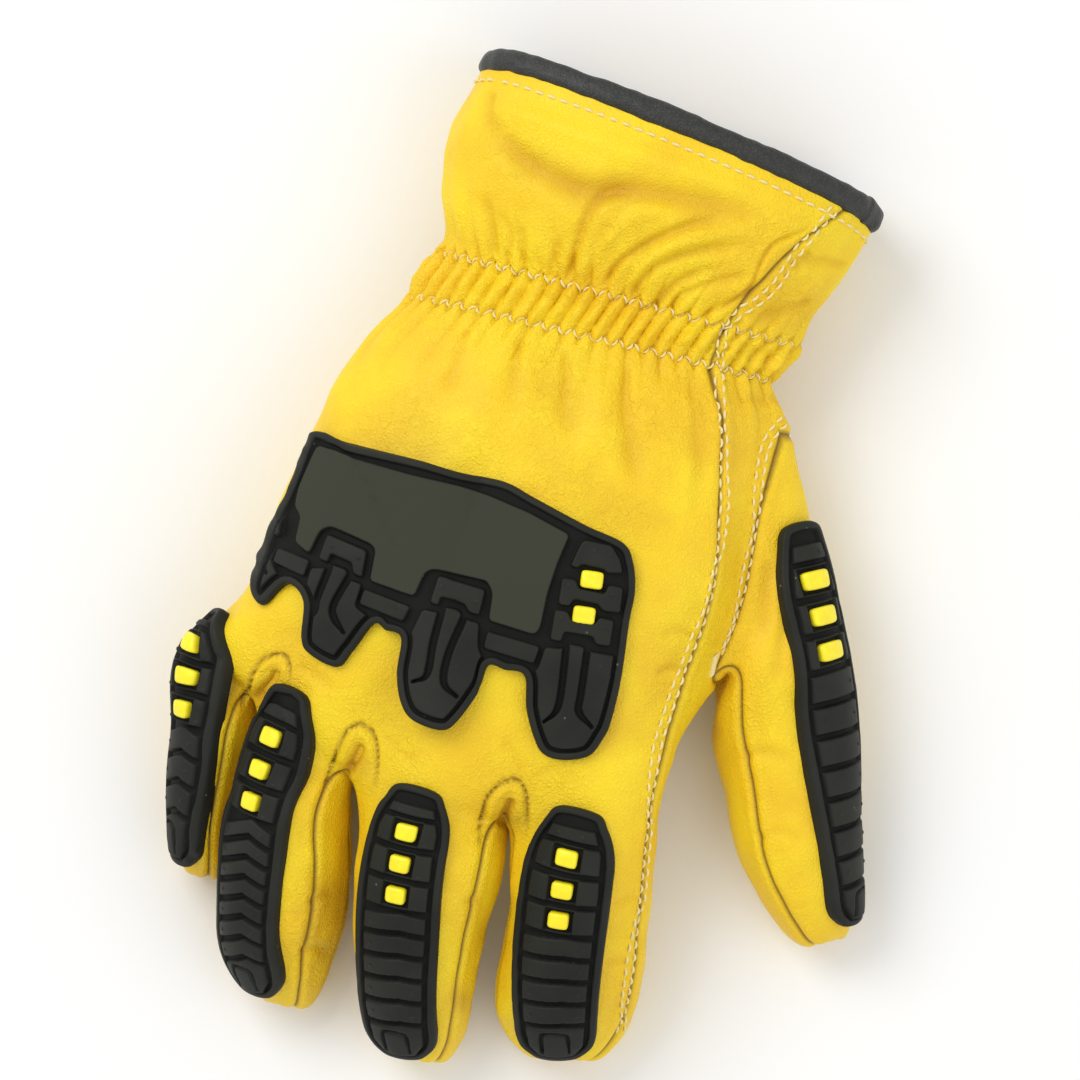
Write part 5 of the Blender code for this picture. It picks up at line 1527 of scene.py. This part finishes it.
def binding_finish(name, look):
    """Black leather of the binding, with fine grain and small puckers, and painted shade in the creases of
    the grain and along the puckers.
    """
    finish = Finish(name, 0.45, coat=0.1)
    shaken = finish.moved(0.0009, 500.0)
    grain = finish.eased(finish.cells(1150.0, place=shaken), 0.0, 0.3)
    puckers = abs(finish.noise(380.0, 3.0, 1.0) - 0.5) * 4.0
    puckers = finish.eased(puckers, 0.0, 0.7)
    height = grain * 0.6 + puckers * 0.8 + finish.noise(4000.0, 1.0) * 0.15
    normal = finish.bumped(height, 0.00013, 0.9)
    # Painted shade: darker in the creases of the grain and along the puckers
    tone = finish.mixed(grain * 0.6 + puckers * 0.3, look.binding_crease_shade, look.binding_light)
    return finish.set(Base_Color=tone, Roughness=0.40 + finish.noise(120.0) * 0.18, Normal=normal)


def thread_finish(name, look):
    """Cream thread: fine fibres and small differences of tone."""
    finish = Finish(name, 0.7, sheen=0.3)
    fibres = finish.noise(5200.0, 2.0, 0.6)
    tone = finish.mixed(finish.eased(fibres, 0.3, 0.7), look.thread_shade, look.thread_colour)
    normal = finish.bumped(fibres, 0.00012, 0.8)
    return finish.set(Base_Color=tone, Roughness=0.62 + fibres * 0.15, Normal=normal)


WORKED = {}


def glove():
    """The glove's skin, worked out at the first call."""
    if "glove" not in WORKED:
        WORKED["glove"] = Glove()
    return WORKED["glove"]


def leather_part(panel, bands, level):
    """Points, faces and masks of a panel's leather in some bands of the
    hand."""
    points, quads, kinds, normals = glove().levels[level]
    chosen = (kinds % 16 == panel) & np.isin(kinds // 16, bands)
    used, corners = np.unique(quads[chosen], return_inverse=True)
    points, normals = points[used], normals[used]
    height, masks = glove().relief(points, normals)
    return points + normals * height[:, None], corners.reshape(-1, 4), masks


def on_leather(places):
    """Where the camera's rays through places of its picture meet the worked
    leather, and its normals there."""
    tree = WORKED["leather_tree"]
    start = Vector(CAMERA_PLACE)
    scale = PICTURE_WIDTH / PICTURE
    spots, normals = [], []
    for u, v in places:
        way = Vector(((u - PICTURE / 2) * scale, (PICTURE / 2 - v) * scale, -CAMERA_PLACE[2])).normalized()
        hit, normal, _, _ = tree.ray_cast(start, way)
        if hit is None:
            hit, normal, _, _ = tree.find_nearest(start + way * (CAMERA_PLACE[2] - HAND_HEIGHT / 2))
        spots.append(hit)
        normals.append(normal)
    return np.array(spots), np.array(normals)


def nearest_leather(points):
    """The nearest spots of the worked leather, and its normals there."""
    found = [WORKED["leather_tree"].find_nearest(Vector(point)) for point in points]
    return np.array([entry[0] for entry in found]), np.array([entry[1] for entry in found])


def stitches(starts, ends, thickness):
    """Stitches from start to end spots on the leather. Each is a round
    thread: its middle bows up from the leather and its ends dive in, and it
    thins to its ends."""
    middles, ups = nearest_leather((starts + ends) / 2)
    rings, sides = 6, 6
    t = np.linspace(0, 1, rings)[None, :, None]
    chord = starts[:, None] * (1 - t) + ends[:, None] * t
    sag = 4 * t * (1 - t) * (middles - (starts + ends) / 2)[:, None]
    lift = (0.9 * thickness * np.sin(math.pi * t) ** 0.6 - 0.35 * thickness) * ups[:, None]
    line = chord + sag + lift
    ahead = unit(ends - starts)
    aside = unit(np.cross(ahead, ups))
    upward = np.cross(aside, ahead)
    radius = thickness / 2 * (0.45 + 0.55 * np.sin(math.pi * t) ** 0.5)
    angles = np.linspace(0, 2 * math.pi, sides, endpoint=False)
    ring = np.cos(angles)[None, None, :, None] * aside[:, None, None] \
        + np.sin(angles)[None, None, :, None] * upward[:, None, None]
    points = (line[:, :, None] + ring * radius[:, :, None]).reshape(-1, 3)
    body = grid_faces(rings, sides, wrap=True)[:, ::-1]
    last = (rings - 1) * sides
    caps = np.array([(0, 1, 2, 3), (0, 3, 4, 5)])
    one = np.vstack([body, caps, caps[:, ::-1] + last])
    faces = (one[None] + (np.arange(len(starts)) * rings * sides)[:, None, None]).reshape(-1, 4)
    return points, faces


def row_spots(line, normals, aside, length, pitch):
    """Start and end spots of a row of stitches beside a line on the leather."""
    run = unit(np.gradient(line, axis=0))
    line = line + np.cross(run, normals) * aside
    line = even_steps(line, 0.0003)
    runs = np.r_[0, np.cumsum(np.linalg.norm(np.diff(line, axis=0), axis=1))]
    begins = np.arange(0.0004, runs[-1] - length, pitch)
    spots = []
    for marks in (begins, begins + length):
        spots.append(np.column_stack([np.interp(marks, runs, line[:, k]) for k in range(3)]))
    starts, _ = nearest_leather(spots[0])
    ends, _ = nearest_leather(spots[1])
    return starts, ends


def joined(parts):
    """Several lots of points and faces as one."""
    points, faces, total = [], [], 0
    for some_points, some_faces in parts:
        points.append(some_points)
        faces.append(some_faces + total)
        total += len(some_points)
    return np.vstack(points), np.vstack(faces)


def guard_patch(name):
    """The place that a finger's guard is laid on."""
    work = glove()
    finger = FINGERS.get(name, THUMB)
    rows = np.array(SECTIONS.get(name, THUMB_SECTIONS))
    spots, facings = [], []
    for along, angle in GUARDS[name]["spots"]:
        row = [along] + [np.interp(along, rows[:, 0], rows[:, k]) for k in range(1, 6)]
        ends = section(work.bases[name], finger["heading"], finger["length"], finger["width"], row, (0, 180))
        across = turned(finger["heading"] + row[3])[1]
        outward = np.array([*(across * math.cos(math.radians(angle))), math.sin(math.radians(angle))])
        spot, facing = meet(work.smooth, ends.mean(axis=0), outward)
        spots.append(spot)
        facings.append(facing)
    return Patch(work.smooth, spots, facings, PAD_LEAST_RADIUS)


def knuckle_patch():
    """The place that the knuckle guard is laid on."""
    work = glove()
    middle = work.left_edge + KNUCKLE_GUARD_AT * (work.right_edge - work.left_edge)
    middle = middle - turned(0)[0] * KNUCKLE_GUARD_BACK
    reach = KNUCKLE_GUARD_WIDTH / 2
    spots = [(middle[0], middle[1] - reach * step, HAND_HEIGHT) for step in (-1, 0, 1)]
    return Patch(work.smooth, spots, [(0, 0, 1)] * 3, KNUCKLE_LEAST_RADIUS)


def guard_net(name):
    """The net under a guard, kept for its inserts."""
    key = "net_" + name
    if key not in WORKED:
        if name == "knuckle":
            outline = scaled(KNUCKLE_OUTLINE)
            patch = knuckle_patch()
        else:
            patch = guard_patch(name)
            outline = Pad(name, patch.length).outline
        WORKED[key] = (Net(patch, outline.min(axis=0), outline.max(axis=0)), patch.length)
    return WORKED[key]


def insert_piece(name, net, middle, width, turn, material):
    """One insert: a box with rounded edges, stood in its pocket."""
    places, top, quads = rounded_box(width, INSERT_LENGTH, INSERT_HEIGHT)
    c, s = math.cos(turn), math.sin(turn)
    places = places @ np.array([[c, s], [-s, c]]) + middle
    points, faces = walled(net, places, quads, top + VISIBLE_LIFT, GUARD_BASE - 0.0002 + VISIBLE_LIFT)
    add_piece("look_" + name, points, faces, material, "insert", (name,))


def guard_piece(name, net, sheet, height, plate, material):
    """One guard, with masks of its plate and of how deep in a groove each point lies, which sets the shade
    painted in its grooves and on its wall."""
    points, faces = walled(net, sheet.places, sheet.quads, height + VISIBLE_LIFT, GUARD_FOOT)
    rest = len(points) - len(height)
    deep = 1 - step_up(height, GUARD_BASE + 0.0001, GUARD_BASE + 0.0011)
    deep *= step_up(sheet.depth, 0.0006, 0.0014)
    # Points at the foot of the wall take 0.3 of the painted groove shade
    masks = {"deep": np.r_[deep, np.full(rest, 0.3)], "plate": np.r_[plate, np.zeros(rest)]}
    add_piece("look_" + name, points, faces, material, "rubber", (name,), masks)


def colour(name, value):
    """A colour that a user may change."""
    return bpy.props.FloatVectorProperty(name=name, description="Colour: " + name.lower(), default=value,
                                         subtype="COLOR", size=3, min=0.0, max=1.0)


def distance(name, value):
    """A length that a user may change."""
    return bpy.props.FloatProperty(name=name, description="Length: " + name.lower(), default=value,
                                   subtype="DISTANCE", unit="LENGTH", precision=5)


class GloveLeatherLook(bpy.types.PropertyGroup):
    """Sizes and colours of the leather, the binding and the stitches."""

    leather_light: colour("Leather", (0.98, 0.73, 0.012))
    leather_deep: colour("Leather, deeper", (0.93, 0.61, 0.010))
    # Colour of the shade painted in the grain's creases, the wrinkles and the hollows
    leather_crease_shade: colour("Creases", (0.64, 0.34, 0.006))
    # Colour of the brown shade painted on the fingers and in the crotches
    leather_brown_shade: colour("Brown_shade", (0.42, 0.22, 0.02))
    # Colour of the dark line of shade painted in the creases of the seams and crotches
    seam_shade_colour: colour("Seams", (0.12, 0.055, 0.006))
    binding_light: colour("Binding", (0.030, 0.031, 0.028))
    # Colour of the shade painted in the binding's grain creases and puckers
    binding_crease_shade: colour("Binding, darker", (0.010, 0.010, 0.009))
    thread_colour: colour("Thread", (0.95, 0.84, 0.42))
    thread_shade: colour("Thread, darker", (0.80, 0.62, 0.20))
    grain_depth: distance("Grain depth", 0.00024)
    stitch_length: distance("Stitch length", 0.0027)
    stitch_pitch: distance("Stitch pitch", 0.0034)
    thread_thickness: distance("Thread", 0.00075)
    row_gap: distance("Row gap", 0.0011)
    hem_margin: distance("Hem margin", 0.0034)


class GloveGuardLook(bpy.types.PropertyGroup):
    """Colours and fineness of the rubber guards and their inserts."""

    rubber_light: colour("Rubber", (0.019, 0.020, 0.015))
    rubber_dark: colour("Rubber, darker", (0.012, 0.013, 0.010))
    plate_colour: colour("Plate", (0.043, 0.046, 0.032))
    # Colour of the shade painted in the grooves and on the walls
    groove_shade_colour: colour("Grooves", (0.003, 0.003, 0.0025))
    dust_colour: colour("Dust", (0.35, 0.33, 0.22))
    insert_colour: colour("Inserts", (1.0, 0.86, 0.01))
    insert_shade: colour("Inserts, deeper", (0.98, 0.78, 0.01))
    fineness: distance("Fineness", 0.00026)


class GloveStageLook(bpy.types.PropertyGroup):
    """Floor and light."""

    floor_colour: colour("Floor", (0.92, 0.92, 0.91))
    key_power: bpy.props.FloatProperty(name="Key light", description="Power of the main soft light",
                                       default=11.0, min=0.0, unit="POWER")
    fill_power: bpy.props.FloatProperty(name="Fill light", description="Power of the fill light",
                                        default=4.0, min=0.0, unit="POWER")
    sky: bpy.props.FloatProperty(name="Sky", description="Strength of the even light from all round",
                                 default=0.75, min=0.0)


class GloveOperator:
    """What the operators share."""

    bl_options = {"REGISTER", "UNDO"}

    @property
    def leather(self):
        return bpy.context.scene.glove_leather

    @property
    def guards(self):
        return bpy.context.scene.glove_guards


class GLOVE_OT_leather(GloveOperator, bpy.types.Operator):
    """Add the leather panels, with folds, gathers and seams, and the lining"""

    bl_idname = "glove.leather"
    bl_label = "Leather"

    def execute(self, context):
        finish = leather_finish("grain_leather", self.leather)
        hand_bands = list(range(FINGER_BAND))
        fingers = [FINGER_BAND]
        parts = [
            ("back_hand", BACK, hand_bands, HAND_FINENESS, ("back_panel",)),
            ("back_fingers", BACK, fingers, REST_FINENESS, ()),
            ("palm_hand", PALM, hand_bands, HAND_FINENESS, ("palm_panel",)),
            ("palm_fingers", PALM, fingers, REST_FINENESS, ()),
        ]
        strips = ("fourchette_ring_little", "fourchette_middle_ring", "fourchette_index_middle",
                  "thumb_back", "thumb_palm")
        for name, panel in zip(strips, (*FOURCHETTES, THUMB_BACK, THUMB_PALM)):
            parts.append((name, panel, fingers, REST_FINENESS, (name,)))
        worked = []
        for name, panel, bands, level, nodes in parts:
            points, quads, masks = leather_part(panel, bands, level)
            add_piece("look_" + name, points, quads, finish, "leather", nodes, masks)
            worked.append((points, quads))
        points, quads = joined(worked)
        WORKED["leather_tree"] = BVHTree.FromPolygons(points.tolist(), quads.tolist())
        points, quads, _, normals = glove().levels[LINING_FINENESS]
        height, masks = glove().relief(points, normals)
        inner = points + normals * (np.minimum(height, 0.0004) - LEATHER)[:, None]
        inner[:, 2] = np.maximum(inner[:, 2], LEATHER * 0.7)
        masks["seam"] = masks["seam"] * 0
        add_piece("look_lining", inner, quads[:, ::-1], leather_finish("lining_leather", self.leather, True),
                  "leather", (), masks)
        return {"FINISHED"}


class GLOVE_OT_binding(GloveOperator, bpy.types.Operator):
    """Add the leather binding round the cuff's edge, with its overlap"""

    bl_idname = "glove.binding"
    bl_label = "Binding"

    def execute(self, context):
        points, quads, _, normals = glove().levels[REST_FINENESS]
        loop, outward_way = cuff_edge(points, quads, normals)
        upward = normals[loop]
        centre = points[loop] - upward * LEATHER / 2 + outward_way * (SEAM_GAP + BINDING_WIDTH / 2 - 0.0006)
        sides = 28
        angles = np.linspace(0, 2 * math.pi, sides, endpoint=False)
        overlap, _ = on_leather([OVERLAP_AT])
        far = np.linalg.norm(centre - overlap[0], axis=1)
        nearest = int(far.argmin())
        runs = np.r_[0, np.cumsum(np.linalg.norm(np.diff(centre, axis=0), axis=1))]
        beyond = (runs - runs[nearest]) % runs[-1]
        if centre[(nearest + 8) % len(loop)][0] < centre[nearest][0]:
            beyond = (runs[nearest] - runs) % runs[-1]
        lap = step_up(beyond, 0, 0.0006) * (1 - step_up(beyond, 0.018, 0.024))
        swell = 1 + 0.11 * lap + 0.035 * waves(centre, 0.02, 21)
        half_width = (BINDING_WIDTH / 2 + 0.0002) * swell[:, None, None]
        half_depth = BINDING_DEPTH / 2 * swell[:, None, None]
        cross = np.sign(np.cos(angles)) * abs(np.cos(angles)) ** 0.85
        rise = np.sign(np.sin(angles)) * abs(np.sin(angles)) ** 0.85
        rings = centre[:, None] + outward_way[:, None] * cross[None, :, None] * half_width \
            + upward[:, None] * rise[None, :, None] * half_depth
        flat = rings.reshape(-1, 3)
        push = unit(flat - np.repeat(centre, sides, axis=0))
        flat = settled(flat + push * (0.00012 * waves(flat, 0.0045, 22))[:, None])
        quads = grid_faces(len(loop), sides, wrap=True)
        first = np.arange(sides)
        closing = np.column_stack([first + (len(loop) - 1) * sides,
                                   np.roll(first, -1) + (len(loop) - 1) * sides, np.roll(first, -1), first])
        faces = np.vstack([quads, closing])
        a, b, c, d = (flat[faces[0, k]] for k in range(4))
        if np.cross(c - a, d - b) @ push[faces[0, 0]] < 0:
            faces = faces[:, ::-1]
        add_piece("look_cuff_binding", flat, faces, binding_finish("binding_leather", self.leather),
                  "binding", ("cuff_binding",))
        return {"FINISHED"}


class GLOVE_OT_stitches(GloveOperator, bpy.types.Operator):
    """Add the rows of stitches: seams, hem and the gathers' zigzags"""

    bl_idname = "glove.stitches"
    bl_label = "Stitches"

    def execute(self, context):
        look = self.leather
        finish = thread_finish("cream_thread", look)
        for name, line in (("long_seam", LONG_SEAM), ("thumb_seam", THUMB_SEAM)):
            spots, normals = on_leather(even_steps(smooth_line(line, 2.0), 3.0))
            rows = []
            for side in (-1, 1):
                starts, ends = row_spots(spots, normals, side * look.row_gap, look.stitch_length,
                                         look.stitch_pitch)
                rows.append(stitches(starts, ends, look.thread_thickness))
            add_piece("look_stitches_" + name, *joined(rows), finish, "leather")
        bar, _ = on_leather(even_steps(np.array(CROTCH_BAR, dtype=float), 1.6))
        aside = np.array([0.0016, 0.0006, 0.0])
        starts, _ = nearest_leather(bar - aside)
        ends, _ = nearest_leather(bar + aside)
        add_piece("look_bar_crotch", *stitches(starts, ends, look.thread_thickness * 0.9), finish, "leather")

        work = glove()
        points, quads, _, normals = work.levels[REST_FINENESS]
        loop, outward_way = cuff_edge(points, quads, normals)
        hem, hem_normals = nearest_leather(points[loop] - outward_way * look.hem_margin)
        hem = np.vstack([hem, hem[:1]])
        hem_normals = np.vstack([hem_normals, hem_normals[:1]])
        starts, ends = row_spots(hem, hem_normals, 0.0, look.stitch_length, look.stitch_pitch)
        add_piece("look_stitches_hem", *stitches(starts, ends, look.thread_thickness), finish, "leather")

        tree = WORKED["leather_tree"]
        for row, name in enumerate(("upper", "lower")):
            marks = np.arange(0, work.gathers.count, 0.5)
            spots = []
            for places in (marks + 0.06, marks + 0.44):
                rays = zip(*work.gathers.thread(row, places))
                spots.append(np.array([meet(tree, start, way)[0] for start, way in rays]))
            starts, ends = spots
            kept = np.linalg.norm(ends - starts, axis=1) < 3 * PUFF_SPACING
            add_piece("look_stitches_gather_" + name,
                      *stitches(starts[kept], ends[kept], look.thread_thickness), finish, "leather")
        return {"FINISHED"}


class GLOVE_OT_knuckle_guard(GloveOperator, bpy.types.Operator):
    """Add the rubber guard over the knuckles"""

    bl_idname = "glove.knuckle_guard"
    bl_label = "Knuckle guard"

    def execute(self, context):
        outline = smooth_line(scaled(KNUCKLE_OUTLINE), 0.0006, closed=True)
        sheet = Sheet(outline, self.guards.fineness)
        height, plate = knuckle_relief(sheet)
        guard_piece("knuckle_guard", guard_net("knuckle")[0], sheet, height, plate,
                    rubber_finish("knuckle_rubber", self.guards))
        return {"FINISHED"}


class GLOVE_OT_finger_guards(GloveOperator, bpy.types.Operator):
    """Add the rubber guards of the fingers and the thumb"""

    bl_idname = "glove.finger_guards"
    bl_label = "Finger guards"

    def execute(self, context):
        finish = rubber_finish("finger_rubber", self.guards)
        for name in GUARDS:
            net, length = guard_net(name)
            pad = Pad(name, length)
            sheet = Sheet(pad.outline, self.guards.fineness)
            height = pad.relief(sheet)
            guard_piece("guard_" + name, net, sheet, height, np.zeros(len(height)), finish)
        return {"FINISHED"}


class GLOVE_OT_inserts(GloveOperator, bpy.types.Operator):
    """Add the bright inserts of all the guards"""

    bl_idname = "glove.inserts"
    bl_label = "Inserts"

    def execute(self, context):
        finish = insert_finish("bright_insert", self.guards)
        net, _ = guard_net("knuckle")
        for number, middle in enumerate(scaled(KNUCKLE_INSERTS)):
            insert_piece(f"insert_knuckle_{number + 1}", net, middle, KNUCKLE_INSERT_WIDTH,
                         KNUCKLE_INSERT_TURN, finish)
        for name in GUARDS:
            net, length = guard_net(name)
            pad = Pad(name, length)
            for number, along in enumerate(pad.insert_places()):
                insert_piece(f"insert_{name}_{number + 1}", net, (0.0, along), pad.insert_width, 0.0, finish)
        return {"FINISHED"}


class GLOVE_OT_stage(GloveOperator, bpy.types.Operator):
    """Add the floor, the soft lights and the camera over the glove"""

    bl_idname = "glove.stage"
    bl_label = "Stage"

    def execute(self, context):
        scene = context.scene
        scene.view_settings.view_transform = "Standard"
        look = scene.glove_stage
        half = 2.5
        corners = [(-half, -half, FLOOR_LEVEL), (half, -half, FLOOR_LEVEL), (half, half, FLOOR_LEVEL),
                   (-half, half, FLOOR_LEVEL)]
        mesh = bpy.data.meshes.new("floor")
        mesh.from_pydata(corners, [], [(0, 1, 2, 3)])
        floor = bpy.data.objects.new("floor", mesh)
        scene.collection.objects.link(floor)
        finish = Finish("pale_floor", 0.6)
        mesh.materials.append(finish.set(Base_Color=(*look.floor_colour, 1.0)))
        target = Vector((0.0, 0.0, 0.02))
        for name, power, size, place in (
                ("key_light", look.key_power, 0.9, (-0.75, 0.75, 1.25)),
                ("fill_light", look.fill_power, 1.4, (0.95, -0.45, 1.0))):
            light = bpy.data.lights.new(name, "AREA")
            light.energy = power
            light.size = size
            lamp = bpy.data.objects.new(name, light)
            lamp.location = place
            lamp.rotation_euler = (target - Vector(place)).to_track_quat("-Z", "Y").to_euler()
            scene.collection.objects.link(lamp)
        world = bpy.data.worlds.new("studio")
        world.use_nodes = True
        world.node_tree.nodes["Background"].inputs["Color"].default_value = (1.0, 1.0, 1.0, 1.0)
        world.node_tree.nodes["Background"].inputs["Strength"].default_value = look.sky
        scene.world = world
        camera = bpy.data.cameras.new("camera")
        camera.sensor_width = SENSOR
        camera.lens = SENSOR * CAMERA_PLACE[2] / PICTURE_WIDTH
        camera.clip_end = 20.0
        eye = bpy.data.objects.new("camera", camera)
        eye.location = CAMERA_PLACE
        scene.collection.objects.link(eye)
        scene.camera = eye
        return {"FINISHED"}


OPERATORS = (GLOVE_OT_leather, GLOVE_OT_binding, GLOVE_OT_stitches, GLOVE_OT_knuckle_guard,
             GLOVE_OT_finger_guards, GLOVE_OT_inserts, GLOVE_OT_stage)
LOOKS = (("glove_leather", GloveLeatherLook), ("glove_guards", GloveGuardLook),
         ("glove_stage", GloveStageLook))


class GLOVE_PT_panel(bpy.types.Panel):
    """The glove's looks and pieces in the sidebar"""

    bl_idname = "GLOVE_PT_panel"
    bl_label = "Impact glove"
    bl_space_type = "VIEW_3D"
    bl_region_type = "UI"
    bl_category = "Glove"

    def draw(self, context):
        for key, look in LOOKS:
            box = self.layout.box()
            for name in look.__annotations__:
                box.prop(getattr(context.scene, key), name)
        for operator in OPERATORS:
            self.layout.operator(operator.bl_idname)


def register():
    """Add the add-on's classes and the scene's settings."""
    for _, look in LOOKS:
        bpy.utils.register_class(look)
    for operator in OPERATORS:
        bpy.utils.register_class(operator)
    bpy.utils.register_class(GLOVE_PT_panel)
    for key, look in LOOKS:
        setattr(bpy.types.Scene, key, bpy.props.PointerProperty(type=look))


def unregister():
    """Take them out again."""
    for key, _ in LOOKS:
        delattr(bpy.types.Scene, key)
    bpy.utils.unregister_class(GLOVE_PT_panel)
    for operator in OPERATORS:
        bpy.utils.unregister_class(operator)
    for _, look in LOOKS:
        bpy.utils.unregister_class(look)


def main():
    """Build every piece through its operator."""
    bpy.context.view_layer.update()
    register()
    bpy.ops.glove.leather()
    bpy.ops.glove.binding()
    bpy.ops.glove.stitches()
    bpy.ops.glove.knuckle_guard()
    bpy.ops.glove.finger_guards()
    bpy.ops.glove.inserts()
    bpy.ops.glove.stage()


if __name__ == "__main__":
    main()
